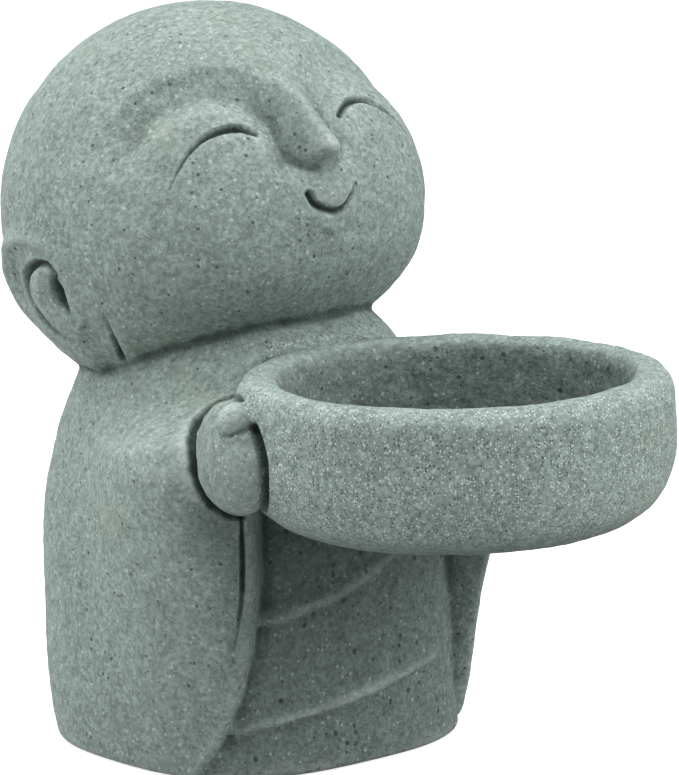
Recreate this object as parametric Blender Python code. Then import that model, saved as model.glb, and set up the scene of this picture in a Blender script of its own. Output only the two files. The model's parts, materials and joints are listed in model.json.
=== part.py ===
"""Stone jizo statue with a round bowl held out in front, cast in one piece.

Metres, +Z up. The statue stands on the ground with its origin at the centre of its underside.
The figure faces -Y and +X is its left-hand side. Its forms are shares of its height. The bowl
has sizes of its own, and the hands and arms take their places from it.
"""
import math

import bmesh
import bpy
import numpy as np
from mathutils import Matrix, Vector

# The figure: its overall height, ground to crown
STATUE_HEIGHT = 0.150
H = STATUE_HEIGHT

# The bowl, sized for a small candle or an offering
BOWL_INNER_RADIUS = 0.0342
BOWL_WALL = 0.0086
BOWL_DEPTH = 0.0236
BOWL_FLOOR = 0.0064
BOWL_LIP_ROUND = 0.0030
BOWL_RIM_ROUND = 0.0036
BOWL_FOOT_ROUND = 0.0146
BOWL_SEAT = 0.0178
BOWL_RIM_HEIGHT = 0.560 * H

# The robe: a rounded block with a tucked hem, under a domed and tilted shoulder
ROBE_HALF_WIDTH = 0.268 * H
ROBE_HALF_DEPTH = 0.262 * H
ROBE_SQUARENESS = 2.7
SHOULDER_SQUARENESS = 2.1
HEM_HEIGHT = 0.167 * H
HEM_TUCK = 0.045
HEM_ROUND = 0.011 * H
SHOULDER_START = 0.267 * H
SHOULDER_TOP = 0.667 * H
SHOULDER_POWER = 2.1
SHOULDER_TILT = 0.22
SHOULDER_SETBACK = 0.070 * H
SHOULDER_SETBACK_POWER = 1.5
SHOULDER_CAP = 0.004 * H

# The front panel, and the sleeves that stand proud of it and swell towards the hands
PANEL_INSET = 0.009 * H
PANEL_RISE = 0.07 * H
SLEEVE_EDGE_ANGLE = 36.0
SLEEVE_FLARE_ANGLE = 22.0
SLEEVE_FLARE_HEIGHT = 0.127 * H
SLEEVE_EDGE_TURN = 2.6
SLEEVE_SWELL_TURN = 52.0
SLEEVE_SWELL_SHIFT = 6.0
SLEEVE_SWELL_POWER = 1.35
SLEEVE_LOW = 0.025 * H
SLEEVE_ROOF_START = 0.024 * H
SLEEVE_ROOF_END = 0.096 * H
PANEL_TOP_START = 0.375 * H
PANEL_TOP_END = 0.450 * H
SLIT_BEHIND = 3.0
SLIT_TOP = 0.37 * H
SLIT_FOOT = 0.19 * H
SLIT_CUT = 0.0060 * H
SLIT_TIP = 0.35

# Folds of cloth across the panel: (angle, share of H) at the start, the pull and the end of each
FOLDS = (((-41.0, 0.205), (-8.0, 0.232), (24.0, 0.315)),
         ((-50.0, 0.056), (-12.0, 0.098), (26.0, 0.125)))
FOLD_RADIUS = 0.0075 * H
FOLD_TIP = 0.6
FOLD_SINK = 0.3

# The head: a ball tilted back, turned and leaning a little
HEAD_RADIUS = 0.282 * H
HEAD_CENTRE_Y = 0.083 * H
HEAD_PITCH = 25.0
HEAD_ROLL = 4.6
HEAD_YAW = -3.0

# Face relief, heights in shares of the head's radius, places in degrees on the head
CHEEK_CENTRE = (45.0, -13.0)
CHEEK_RADIUS = 40.0
CHEEK_HEIGHT = 0.058
SOCKET_CENTRE = (33.0, -3.0)
SOCKET_RADIUS = 30.0
SOCKET_WIDTH = 7.0
SOCKET_DEPTH = 0.064
NOSE_TIP = -1.5
NOSE_TOP = 27.0
NOSE_HEIGHT = 0.078
NOSE_TOP_WIDTH = 7.0
NOSE_TIP_WIDTH = 7.2
NOSE_UNDERCUT = 6.5
NOSE_RUN_POWER = 0.9
MUZZLE_LATITUDE = -15.0
MUZZLE_HEIGHT = 0.020
MUZZLE_RADIUS = 17.0
JAW_START = -28.0
JAW_END = -66.0
JAW_DROP = 0.130

# Carved lines on the face: start, pull and end in degrees (longitude from the nose, latitude)
EYE_LINE = ((40.4, 1.4), (28.5, 15.4), (14.1, 6.7))
EYE_CUT = 0.0085 * H
MOUTH_LINE = ((-6.3, -13.8), (1.5, -25.6), (9.3, -13.8))
MOUTH_CUT = 0.0085 * H
LINE_TIP = 0.4
LINE_FULLNESS = 0.7
LINE_LIFT = 0.15

# Ears: pads that follow the ball, with a hooked groove and a hollow. The groove and the hollow
# are placed in half sizes of the pad: back and up from its middle
EAR_CENTRE = (104.0, -13.5)
EAR_HALF_WIDTH = 0.072 * H
EAR_HALF_LENGTH = 0.100 * H
EAR_LEAN = 25.0
EAR_RISE = 0.0135 * H
EAR_FRONT_SHARE = 0.35
EAR_EDGE = 0.24
EAR_GROOVE = 0.018 * H
EAR_GROOVE_CENTRE = (0.0, 0.16)
EAR_GROOVE_HALF_SIZES = (0.60, 0.52)
EAR_GROOVE_WIDTH = 0.24
EAR_GROOVE_ENDS = ((-35.0, 5.0), (120.0, 150.0))
EAR_HOLLOW_CENTRE = (-0.42, 0.05)
EAR_HOLLOW_HALF_SIZES = (0.22, 0.30)
EAR_BACK_SLANT = 0.6
EAR_BACK_SPAN = (-0.9, 0.6)
EAR_ROOT = 0.02 * H

# Hands, placed around the bowl
HAND_HALF_WIDTH = 0.052 * H
HAND_HALF_LENGTH = 0.066 * H
HAND_HALF_HEIGHT = 0.083 * H
HAND_ANGLE = 35.0
HAND_TURN = 24.0
HAND_OUT = 0.013 * H
HAND_HEIGHT = 0.450 * H
HAND_BEDDING = 0.012 * H
THUMB_HALF_SIZES = (0.028 * H, 0.034 * H, 0.024 * H)
THUMB_PLACE = (0.0, -0.022 * H, 0.062 * H)

# The crease around each hand where it leaves the sleeve: an arc on the sleeve's skin
CUFF_HALF_TURN = 7.3
CUFF_HALF_HEIGHT = 0.063 * H
CUFF_RISE = 0.024 * H
CUFF_SPAN = (-85.0, 110.0)
CUFF_CUT = 0.0080 * H

# Facets
HEAD_SEGMENTS = 48
HEAD_RINGS = 28
HEAD_CROWDING = 1.4
EAR_SEGMENTS = 28
EAR_RINGS = 7
HAND_SEGMENTS = 20
HAND_RINGS = 12
THUMB_SEGMENTS = 12
THUMB_RINGS = 7
BOWL_SEGMENTS = 52
PANEL_COLUMNS = 11
BACK_COLUMNS = 31
ROUND_STEPS = 3
SIDE_STEPS = 6
DOME_STEPS = 12
DOME_END = 82.0
LINE_STEPS = 11
CUFF_STEPS = 14

STONE_COLOUR = (0.23, 0.28, 0.26, 1.0)
STONE_ROUGHNESS = 0.92


def smoothstep(low, high, value):
    """Rise smoothly from 0 at low to 1 at high."""
    share = np.clip((value - low) / (high - low), 0.0, 1.0)
    return share * share * (3.0 - 2.0 * share)


def clear_scene():
    """Remove every object that the file opened with."""
    for thing in list(bpy.data.objects):
        bpy.data.objects.remove(thing, do_unlink=True)


def stone_material():
    """Make the plain matte grey-green of the cast stone."""
    stone = bpy.data.materials.new("cast_stone")
    stone.use_nodes = True
    shader = stone.node_tree.nodes["Principled BSDF"]
    shader.inputs["Base Color"].default_value = STONE_COLOUR
    shader.inputs["Roughness"].default_value = STONE_ROUGHNESS
    shader.inputs["Metallic"].default_value = 0.0
    return stone


def add_object(name, mesh):
    """Link a mesh into the scene as an object of that name."""
    thing = bpy.data.objects.new(name, mesh)
    bpy.context.scene.collection.objects.link(thing)
    return thing


def skin_rings(name, rings, pole_low, pole_high):
    """Close a stack of rings, shape (rings, columns, 3), with a fan at either pole."""
    count, columns = rings.shape[:2]
    form = bmesh.new()
    rows = [[form.verts.new(point) for point in ring] for ring in rings]
    for low, high in zip(rows, rows[1:]):
        for column in range(columns):
            after = (column + 1) % columns
            form.faces.new((low[column], low[after], high[after], high[column]))
    for row, pole in ((rows[0], pole_low), (rows[-1], pole_high)):
        centre = form.verts.new(pole)
        for column in range(columns):
            form.faces.new((row[column], row[(column + 1) % columns], centre))
    bmesh.ops.recalc_face_normals(form, faces=form.faces)
    mesh = bpy.data.meshes.new(name)
    form.to_mesh(mesh)
    form.free()
    return add_object(name, mesh)


def ellipsoid(name, half_sizes, centre, turn, segments, rings):
    """A ball stretched to three half sizes, turned and put in its place."""
    form = bmesh.new()
    place = Matrix.Translation(centre) @ turn @ Matrix.Diagonal((*half_sizes, 1.0))
    bmesh.ops.create_uvsphere(form, u_segments=segments, v_segments=rings, radius=1.0, matrix=place)
    mesh = bpy.data.meshes.new(name)
    form.to_mesh(mesh)
    form.free()
    return add_object(name, mesh)


def lathe(name, profile, segments):
    """Turn a closed profile of (radius, height) pairs, first and last on the axis, about Z."""
    form = bmesh.new()
    points = [form.verts.new((radius, 0.0, height)) for radius, height in profile]
    edges = [form.edges.new(pair) for pair in zip(points, points[1:])]
    bmesh.ops.spin(form, geom=points + edges, cent=(0, 0, 0), axis=(0, 0, 1),
                   angle=2.0 * math.pi, steps=segments, use_merge=True)
    bmesh.ops.remove_doubles(form, verts=form.verts, dist=1e-6)
    bmesh.ops.recalc_face_normals(form, faces=form.faces)
    mesh = bpy.data.meshes.new(name)
    form.to_mesh(mesh)
    form.free()
    return add_object(name, mesh)


def arc(centre, radius, start, stop, steps):
    """Points on an arc, angles in degrees."""
    angles = np.radians(np.linspace(start, stop, steps + 1))
    return [(centre[0] + radius * math.cos(a), centre[1] + radius * math.sin(a)) for a in angles]


def tube(name, points, radii, sides=8):
    """A round, tapering rod along a line of points, its radius set at each point."""
    points = np.asarray(points, float)
    run = np.gradient(points, axis=0)
    run /= np.linalg.norm(run, axis=1, keepdims=True)
    flat = np.linalg.svd(points - points.mean(axis=0))[2][-1]
    across = flat - run * (run @ flat)[:, None]
    across /= np.linalg.norm(across, axis=1, keepdims=True)
    above = np.cross(run, across)
    turns = np.arange(sides) * 2.0 * np.pi / sides
    spokes = (across[:, None] * np.cos(turns)[None, :, None]
              + above[:, None] * np.sin(turns)[None, :, None])
    rings = points[:, None] + spokes * np.asarray(radii)[:, None, None]
    return skin_rings(name, rings, points[0] - 0.5 * radii[0] * run[0],
                      points[-1] + 0.5 * radii[-1] * run[-1])


def bezier(start, control, end, count):
    """Points on a quadratic curve between start and end."""
    share = np.linspace(0.0, 1.0, count)[:, None]
    start, control, end = (np.asarray(p, float) for p in (start, control, end))
    return (1 - share) ** 2 * start + 2 * share * (1 - share) * control + share ** 2 * end


# Robe

def shoulder_rise(level):
    """Share of the way from the start of the shoulders to their top."""
    return np.clip((level - SHOULDER_START) / (SHOULDER_TOP - SHOULDER_START), 0.0, 1.0)


def robe_scale(level):
    """Width of the robe at a level, as a share of its widest."""
    hem = 1.0 - HEM_TUCK * np.clip(1.0 - level / HEM_HEIGHT, 0.0, 1.0) ** 2
    return hem * (1.0 - shoulder_rise(level) ** SHOULDER_POWER) ** (1.0 / SHOULDER_POWER)


def robe_centre(level):
    """Fore and aft place of the robe's middle at a level: it sits back at the shoulders."""
    return SHOULDER_SETBACK * shoulder_rise(level) ** SHOULDER_SETBACK_POWER


def robe_tilt(level):
    """Slope of the robe's rings, level at the hem and rising forwards at the shoulders."""
    return SHOULDER_TILT * smoothstep(SHOULDER_START, 0.5 * (SHOULDER_START + SHOULDER_TOP), level)


def robe_edge_angle(level):
    """Angle from the front, in degrees, of the sleeves' front edges at a level."""
    return SLEEVE_EDGE_ANGLE + SLEEVE_FLARE_ANGLE * np.exp(-level / SLEEVE_FLARE_HEIGHT)


def robe_core(angle, level):
    """Distance of the plain robe's skin from its middle, by angle from the front in degrees."""
    turned = np.radians(angle)
    power = ROBE_SQUARENESS + (SHOULDER_SQUARENESS - ROBE_SQUARENESS) * shoulder_rise(level)
    across = np.abs(np.sin(turned)) / ROBE_HALF_WIDTH
    along = np.abs(np.cos(turned)) / ROBE_HALF_DEPTH
    return (across ** power + along ** power) ** (-1.0 / power) * robe_scale(level)


def hand_place():
    """Where the hands meet the robe: the angle off the front, in degrees, and the level."""
    hand = hand_centre(1.0)
    return math.degrees(math.atan2(hand.x, -hand.y)), hand.z + SHOULDER_TILT * hand.y


def sleeve_swell(off_front, level):
    """How far the sleeves swell out to meet the hands, by angle off the front."""
    hand = hand_centre(1.0)
    hand_angle, hand_level = hand_place()
    hand_angle += SLEEVE_SWELL_SHIFT
    reach = math.hypot(hand.x, hand.y) - HAND_BEDDING - float(robe_core(hand_angle, hand_level))
    climb = np.clip((level - SLEEVE_LOW) / (hand_level - SLEEVE_LOW), 0.0, 1.0) ** SLEEVE_SWELL_POWER
    roof = 1.0 - smoothstep(hand_level + SLEEVE_ROOF_START, hand_level + SLEEVE_ROOF_END, level)
    around = np.clip(np.abs(off_front - hand_angle) / SLEEVE_SWELL_TURN, 0.0, 1.0)
    return reach * climb * roof * np.cos(0.5 * np.pi * around) ** 2


def robe_radius(angle, level):
    """Distance of the robe's skin from its middle, with the panel and the sleeves."""
    off_front = np.abs((angle + 180.0) % 360.0 - 180.0)
    edge = robe_edge_angle(level)
    below = 1.0 - smoothstep(PANEL_TOP_START, PANEL_TOP_END, level)
    panel = (1.0 - smoothstep(edge - SLEEVE_EDGE_TURN, edge, off_front)) * below
    inset = PANEL_INSET * smoothstep(0.0, PANEL_RISE, level)
    return robe_core(angle, level) - inset * panel + sleeve_swell(off_front, level) * (1.0 - panel)


def robe_point(angle, level, inset=0.0):
    """The robe's skin at an angle and a level, in the statue's frame."""
    radius = robe_radius(angle, level) - inset
    turned = np.radians(angle)
    x = radius * np.sin(turned)
    y = robe_centre(level) - radius * np.cos(turned)
    return np.stack([x, y, level - robe_tilt(level) * y], axis=-1)


def robe_angles(level):
    """Angles from the front round one ring, with columns held on the sleeves' edges."""
    edge = float(robe_edge_angle(level))
    panel_end = edge - SLEEVE_EDGE_TURN
    panel = np.linspace(-panel_end, panel_end, PANEL_COLUMNS + 1)
    back = np.linspace(edge, 360.0 - edge, BACK_COLUMNS + 1)
    return np.concatenate([panel, back])


def make_robe():
    """Loft the robe from its rings: a rounded hem, upright sides and a tilted shoulder dome."""
    hem = np.radians(np.linspace(0.0, 90.0, ROUND_STEPS + 1))
    hem_levels = HEM_ROUND * (1.0 - np.cos(hem))
    hem_insets = HEM_ROUND * (1.0 - np.sin(hem))
    sides = np.linspace(0.0, SHOULDER_START, SIDE_STEPS + 2)[1:]
    share = np.sin(np.radians(np.linspace(0.0, DOME_END, DOME_STEPS + 1)[1:]))
    dome = SHOULDER_START + (SHOULDER_TOP - SHOULDER_START) * share
    levels = np.concatenate([hem_levels, sides, dome])
    insets = np.concatenate([hem_insets, np.zeros(len(sides) + len(dome))])
    rings = np.array([robe_point(robe_angles(level), level, inset)
                      for level, inset in zip(levels, insets)])
    low = (0.0, 0.0, 0.0)
    high = rings[-1].mean(axis=0) + np.array([0.0, 0.0, SHOULDER_CAP])
    return skin_rings("jizo_statue", rings, low, high)


def robe_line(points):
    """Points on the robe's skin along a curve of (angle, height as a share of H) places."""
    path = bezier(*points, LINE_STEPS)
    return robe_point(path[:, 0], path[:, 1] * H)


def fold_ridges():
    """Low rolls of cloth across the panel, let in to just under half their thickness."""
    ridges = []
    for fold in FOLDS:
        places = robe_line(fold)
        taper = FOLD_RADIUS * np.linspace(1.0, FOLD_TIP, len(places))
        sunk = places + np.array([0.0, FOLD_SINK * FOLD_RADIUS, 0.0])
        ridges.append(tube("fold", sunk, taper, sides=6))
    return ridges


def slit_cutters():
    """The slit in each sleeve behind its front edge, running out towards the hem."""
    cutters = []
    for side in (-1.0, 1.0):
        levels = np.linspace(SLIT_TOP, SLIT_FOOT, LINE_STEPS)
        places = robe_point(side * (robe_edge_angle(levels) + SLIT_BEHIND), levels)
        taper = SLIT_CUT * np.linspace(1.0, SLIT_TIP, len(places))
        cutters.append(tube("slit_cutter", places, taper, sides=6))
    return cutters


# Head

def head_frame():
    """Turn from the head's own axes (left, face, up as X, -Y, Z) to the statue's."""
    return (Matrix.Rotation(math.radians(HEAD_ROLL), 4, "Y").inverted()
            @ Matrix.Rotation(math.radians(HEAD_YAW), 4, "Z")
            @ Matrix.Rotation(math.radians(-HEAD_PITCH), 4, "X"))


def head_centre():
    """Centre of the head's ball, its crown at the statue's full height."""
    return Vector((0.0, HEAD_CENTRE_Y, H - HEAD_RADIUS))


def spread(longitude, latitude, centre, side=1.0):
    """Steps in degrees from a centre on the ball: away from the nose, and up."""
    away = (longitude * side - centre[0]) * np.cos(np.radians(latitude))
    return away, latitude - centre[1]


def face_relief(longitude, latitude):
    """Height of the face over the ball, in shares of the head's radius."""
    relief = -JAW_DROP * smoothstep(-JAW_START, -JAW_END, -latitude)
    for side in (-1.0, 1.0):
        away, above = spread(longitude, latitude, CHEEK_CENTRE, side)
        near = np.clip(np.hypot(away, above) / CHEEK_RADIUS, 0.0, 1.0)
        relief += CHEEK_HEIGHT * np.cos(0.5 * np.pi * near) ** 2
        away, above = spread(longitude, latitude, SOCKET_CENTRE, side)
        bearing = np.degrees(np.arctan2(above, -away))
        arch = smoothstep(-30.0, 12.0, bearing) * (1.0 - smoothstep(138.0, 172.0, bearing))
        off_line = (np.hypot(away, above) - SOCKET_RADIUS) / SOCKET_WIDTH
        relief -= SOCKET_DEPTH * arch * np.exp(-off_line ** 2)
    run = np.clip((NOSE_TOP - latitude) / (NOSE_TOP - NOSE_TIP), 0.0, 1.0)
    width = NOSE_TOP_WIDTH + (NOSE_TIP_WIDTH - NOSE_TOP_WIDTH) * run
    under = smoothstep(NOSE_TIP - NOSE_UNDERCUT, NOSE_TIP, latitude)
    relief += NOSE_HEIGHT * run ** NOSE_RUN_POWER * under * np.exp(-(longitude / width) ** 2)
    muzzle = np.hypot(longitude, latitude - MUZZLE_LATITUDE) / MUZZLE_RADIUS
    relief += MUZZLE_HEIGHT * (1.0 - smoothstep(0.0, 1.0, muzzle))
    return relief


def head_point(longitude, latitude, rise=0.0):
    """A point of the face, by longitude from the nose and latitude, in the statue's frame."""
    longitude = np.asarray(longitude, float)
    latitude = np.asarray(latitude, float)
    turned, lifted = np.radians(longitude), np.radians(latitude)
    radius = HEAD_RADIUS * (1.0 + face_relief(longitude, latitude)) + rise
    local = np.stack([radius * np.cos(lifted) * np.sin(turned),
                      -radius * np.cos(lifted) * np.cos(turned),
                      radius * np.sin(lifted)], axis=-1)
    frame = np.array(head_frame().to_3x3())
    return local @ frame.T + np.array(head_centre())


def make_head():
    """The head's ball, its rings closing on the nose and packed closer over the face."""
    share = np.linspace(0.0, 1.0, HEAD_RINGS + 2)[1:-1]
    away = np.radians(180.0 * share ** HEAD_CROWDING)[:, None]
    around = np.radians(np.arange(HEAD_SEGMENTS) * 360.0 / HEAD_SEGMENTS)[None, :]
    across = np.sin(away) * np.cos(around)
    above = np.sin(away) * np.sin(around)
    ahead = np.cos(away) + 0.0 * around
    longitude = np.degrees(np.arctan2(across, ahead))
    latitude = np.degrees(np.arcsin(above))
    rings = head_point(longitude, latitude)
    nose = head_point(0.0, 0.0)
    nape = head_point(180.0, 0.0)
    return skin_rings("head", rings, nose, nape)


def carve_line(name, line, radius):
    """A tapering cutter lying along a curve on the face."""
    path = bezier(*line, LINE_STEPS)
    places = head_point(path[:, 0], path[:, 1], rise=LINE_LIFT * radius)
    share = np.linspace(0.0, 1.0, LINE_STEPS)
    taper = LINE_TIP + (1.0 - LINE_TIP) * np.sin(np.pi * share) ** LINE_FULLNESS
    return tube(name, places, radius * taper)


def face_cutters():
    """The closed, smiling eyes and the mouth."""
    left = np.array(EYE_LINE)
    right = left * np.array([-1.0, 1.0])
    return [carve_line("left_eye_cutter", left, EYE_CUT),
            carve_line("right_eye_cutter", right, EYE_CUT),
            carve_line("mouth_cutter", MOUTH_LINE, MOUTH_CUT)]


# Ears

def ear_rise(across, along):
    """Height of an ear over the ball; across runs back and along runs up, both -1 to 1."""
    away = np.hypot(across, along)
    back = smoothstep(*EAR_BACK_SPAN, across - EAR_BACK_SLANT * along)
    pad = EAR_RISE * (EAR_FRONT_SHARE + (1.0 - EAR_FRONT_SHARE) * back)
    rise = pad * (1.0 - smoothstep(1.0 - EAR_EDGE, 1.0, away))
    from_middle = (across - EAR_GROOVE_CENTRE[0], along - EAR_GROOVE_CENTRE[1])
    ring = np.hypot(from_middle[0] / EAR_GROOVE_HALF_SIZES[0], from_middle[1] / EAR_GROOVE_HALF_SIZES[1])
    bearing = np.degrees(np.arctan2(from_middle[1], -from_middle[0]))
    hook = smoothstep(*EAR_GROOVE_ENDS[0], bearing) + smoothstep(*EAR_GROOVE_ENDS[1], -bearing)
    groove = np.exp(-((ring - 1.0) / EAR_GROOVE_WIDTH) ** 2) * np.clip(hook, 0.0, 1.0)
    hollow = np.exp(-((across - EAR_HOLLOW_CENTRE[0]) / EAR_HOLLOW_HALF_SIZES[0]) ** 2
                    - ((along - EAR_HOLLOW_CENTRE[1]) / EAR_HOLLOW_HALF_SIZES[1]) ** 2)
    return rise - EAR_GROOVE * np.maximum(groove, hollow)


def ear_point(across, along, side, sink=0.0):
    """A point of an ear's skin in the statue's frame."""
    lean = math.radians(EAR_LEAN)
    back = EAR_HALF_WIDTH * across * math.cos(lean) + EAR_HALF_LENGTH * along * math.sin(lean)
    up = EAR_HALF_LENGTH * along * math.cos(lean) - EAR_HALF_WIDTH * across * math.sin(lean)
    latitude = EAR_CENTRE[1] + np.degrees(up / HEAD_RADIUS)
    turned = np.degrees(back / HEAD_RADIUS) / np.cos(np.radians(EAR_CENTRE[1]))
    return head_point(side * (EAR_CENTRE[0] + turned), latitude, ear_rise(across, along) - sink)


def make_ears():
    """Two long-lobed ears: dished pads on the ball, closed underneath by a sunk root."""
    ears = []
    around = np.radians(np.arange(EAR_SEGMENTS) * 360.0 / EAR_SEGMENTS)
    for side, name in ((-1.0, "right_ear"), (1.0, "left_ear")):
        shares = np.linspace(1.0, 0.0, EAR_RINGS + 1)[:-1]
        skin = [ear_point(share * np.cos(around), share * np.sin(around), side) for share in shares]
        root = [ear_point(share * np.cos(around), share * np.sin(around), side, EAR_ROOT)
                for share in (0.5, 1.0)]
        low = ear_point(np.zeros(1), np.zeros(1), side, EAR_ROOT)[0]
        high = ear_point(np.zeros(1), np.zeros(1), side)[0]
        ears.append(skin_rings(name, np.array(root + skin), low, high))
    return ears


# Bowl, hands and arms

def bowl_outer_radius():
    """Outer radius of the bowl's wall."""
    return BOWL_INNER_RADIUS + BOWL_WALL


def bowl_centre():
    """Centre of the rim circle: the bowl's back is let into the chest by the seat."""
    return Vector((0.0, -ROBE_HALF_DEPTH - bowl_outer_radius() + BOWL_SEAT, BOWL_RIM_HEIGHT))


def make_bowl():
    """The bowl's outside: a round lip, a nearly upright wall and a full round foot."""
    radius = bowl_outer_radius()
    bottom = -(BOWL_DEPTH + BOWL_FLOOR)
    lip = arc((radius - BOWL_RIM_ROUND, -BOWL_RIM_ROUND), BOWL_RIM_ROUND, 90, 0, ROUND_STEPS)
    foot = arc((radius - BOWL_FOOT_ROUND, bottom + BOWL_FOOT_ROUND), BOWL_FOOT_ROUND, 0, -90,
               ROUND_STEPS + 2)
    bowl = lathe("bowl", [(0.0, 0.0)] + lip + foot + [(0.0, bottom)], BOWL_SEGMENTS)
    bowl.location = bowl_centre()
    return bowl


def bowl_cavity():
    """The cutter for the bowl's inside, flaring over the rounded lip."""
    floor_round = 0.5 * BOWL_LIP_ROUND
    floor = arc((BOWL_INNER_RADIUS - floor_round, -BOWL_DEPTH + floor_round), floor_round, -90, 0, 2)
    lip = arc((BOWL_INNER_RADIUS + BOWL_LIP_ROUND, -BOWL_LIP_ROUND), BOWL_LIP_ROUND, 180, 90,
              ROUND_STEPS)
    top = (BOWL_INNER_RADIUS + BOWL_LIP_ROUND, 0.02 * H)
    cavity = lathe("bowl_cavity", [(0.0, -BOWL_DEPTH)] + floor + lip + [top, (0.0, 0.02 * H)],
                   BOWL_SEGMENTS)
    cavity.location = bowl_centre()
    return cavity


def hand_centre(side):
    """Middle of a hand, against the bowl's outer wall and behind its widest point."""
    reach = bowl_outer_radius() + HAND_OUT
    turned = math.radians(HAND_ANGLE)
    bowl = bowl_centre()
    return Vector((side * reach * math.cos(turned), bowl.y + reach * math.sin(turned), HAND_HEIGHT))


def hand_turn(side):
    """Turn of a hand about the upright, its length running forwards along the bowl."""
    return Matrix.Rotation(side * math.radians(HAND_TURN), 4, "Z")


def make_hands():
    """Egg-shaped hands with a thumb laid over the top of each."""
    forms = []
    for side, name in ((-1.0, "right"), (1.0, "left")):
        centre = hand_centre(side)
        turn = hand_turn(side)
        half = (HAND_HALF_WIDTH, HAND_HALF_LENGTH, HAND_HALF_HEIGHT)
        forms.append(ellipsoid(name + "_hand", half, centre, turn, HAND_SEGMENTS, HAND_RINGS))
        thumb = centre + turn @ Vector(THUMB_PLACE)
        forms.append(ellipsoid(name + "_thumb", THUMB_HALF_SIZES, thumb, turn, THUMB_SEGMENTS, THUMB_RINGS))
    return forms


def cuff_cutters():
    """The deep crease where each hand comes out of its sleeve."""
    cutters = []
    around = np.radians(np.linspace(*CUFF_SPAN, CUFF_STEPS))
    turned, level = hand_place()
    for side in (-1.0, 1.0):
        places = robe_point(side * (turned + CUFF_HALF_TURN * np.cos(around)),
                            level + CUFF_RISE + CUFF_HALF_HEIGHT * np.sin(around))
        cutters.append(tube("cuff_cutter", places, np.full(len(places), CUFF_CUT)))
    return cutters


def combine(statue, forms, operation):
    """Join forms to the statue, or cut them from it, one Boolean each."""
    for form in forms:
        step = statue.modifiers.new(form.name, "BOOLEAN")
        step.operation = operation
        step.solver = "MANIFOLD"
        step.object = form
        form.hide_render = True
        form.display_type = "WIRE"


def main():
    """Build the statue."""
    clear_scene()
    statue = make_robe()
    combine(statue, [make_head(), make_bowl()] + make_hands() + make_ears() + fold_ridges(), "UNION")
    cutters = [bowl_cavity()] + face_cutters() + cuff_cutters() + slit_cutters()
    combine(statue, cutters, "DIFFERENCE")
    statue.data.materials.append(stone_material())


main()
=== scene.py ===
"""Looks of the stone jizo statue: one casting of grey-green stone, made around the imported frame.

Every form is a surface worked out with numpy from a few sizes. The forms are fused into one skin,
softened as a casting is, carved with its lines, roughened, and thinned to a light mesh.
"""
from __future__ import annotations

import itertools
import json
import logging
import math
from dataclasses import dataclass, field
from enum import Enum

import bmesh
import bpy
import numpy as np
from mathutils import Matrix, Vector


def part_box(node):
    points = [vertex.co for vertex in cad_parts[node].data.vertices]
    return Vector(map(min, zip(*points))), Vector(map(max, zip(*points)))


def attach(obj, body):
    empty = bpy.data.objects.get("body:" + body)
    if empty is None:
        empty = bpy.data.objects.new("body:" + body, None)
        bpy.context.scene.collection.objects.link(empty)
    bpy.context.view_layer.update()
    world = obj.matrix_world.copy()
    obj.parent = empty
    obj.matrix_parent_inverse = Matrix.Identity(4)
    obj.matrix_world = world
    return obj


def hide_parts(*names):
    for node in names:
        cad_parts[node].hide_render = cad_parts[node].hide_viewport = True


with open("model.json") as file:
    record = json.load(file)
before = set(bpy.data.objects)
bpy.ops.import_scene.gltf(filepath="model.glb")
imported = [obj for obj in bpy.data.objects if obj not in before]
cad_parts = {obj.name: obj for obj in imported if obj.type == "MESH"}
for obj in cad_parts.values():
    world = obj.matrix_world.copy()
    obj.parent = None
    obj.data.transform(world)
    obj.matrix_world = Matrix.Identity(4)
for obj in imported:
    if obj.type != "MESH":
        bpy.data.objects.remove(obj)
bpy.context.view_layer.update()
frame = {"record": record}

NODE = "jizo_statue"
BODY = "root"
MILLIMETRE = 0.001

Array = np.ndarray
Pair = tuple[float, float]
Triple = tuple[float, float, float]
Colour = tuple[float, float, float, float]
Row = tuple[float, ...]
Line = tuple[Pair, ...]
Table = tuple[tuple, ...]
Socket = bpy.types.NodeSocket

log = logging.getLogger("jizo")


def mm(*values: float) -> Row:
    """Turn millimetres into metres."""
    return tuple(value * MILLIMETRE for value in values)


def smoothstep(low: float, high: float, value: Array) -> Array:
    """Rise smoothly from 0 at low to 1 at high, as 3s^2 - 2s^3 of the share s between them."""
    share = np.clip((value - low) / (high - low), 0.0, 1.0)
    return share * share * (3.0 - 2.0 * share)


def bump(value: Array) -> Array:
    """A soft bell: (1 - v^2)^2 inside -1 to 1, and 0 outside."""
    return np.clip(1.0 - value * value, 0.0, None) ** 2


def curve_through(points: Line | Array, count: int) -> Array:
    """Spread points evenly in parameter along a smooth curve through a few given ones.

    Each stretch is a Catmull-Rom cubic: it passes through its ends, and its slope at an end is
    half the step between the neighbours of that end.

    Args:
        points: the points to pass through, each of two or three numbers.
        count: how many points to give back.

    Returns:
        An array (count, 2) or (count, 3).
    """
    knots = np.asarray(points, float)
    knots = np.vstack([2.0 * knots[0] - knots[1], knots, 2.0 * knots[-1] - knots[-2]])
    place = np.linspace(0.0, len(points) - 1.0, count)
    first = np.minimum(place.astype(int), len(points) - 2)
    t = (place - first)[:, None]
    a, b, c, d = (knots[first + step] for step in range(4))
    return 0.5 * (2.0 * b + (c - a) * t + (2.0 * a - 5.0 * b + 4.0 * c - d) * t ** 2
                  + (3.0 * b - a - 3.0 * c + d) * t ** 3)


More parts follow.
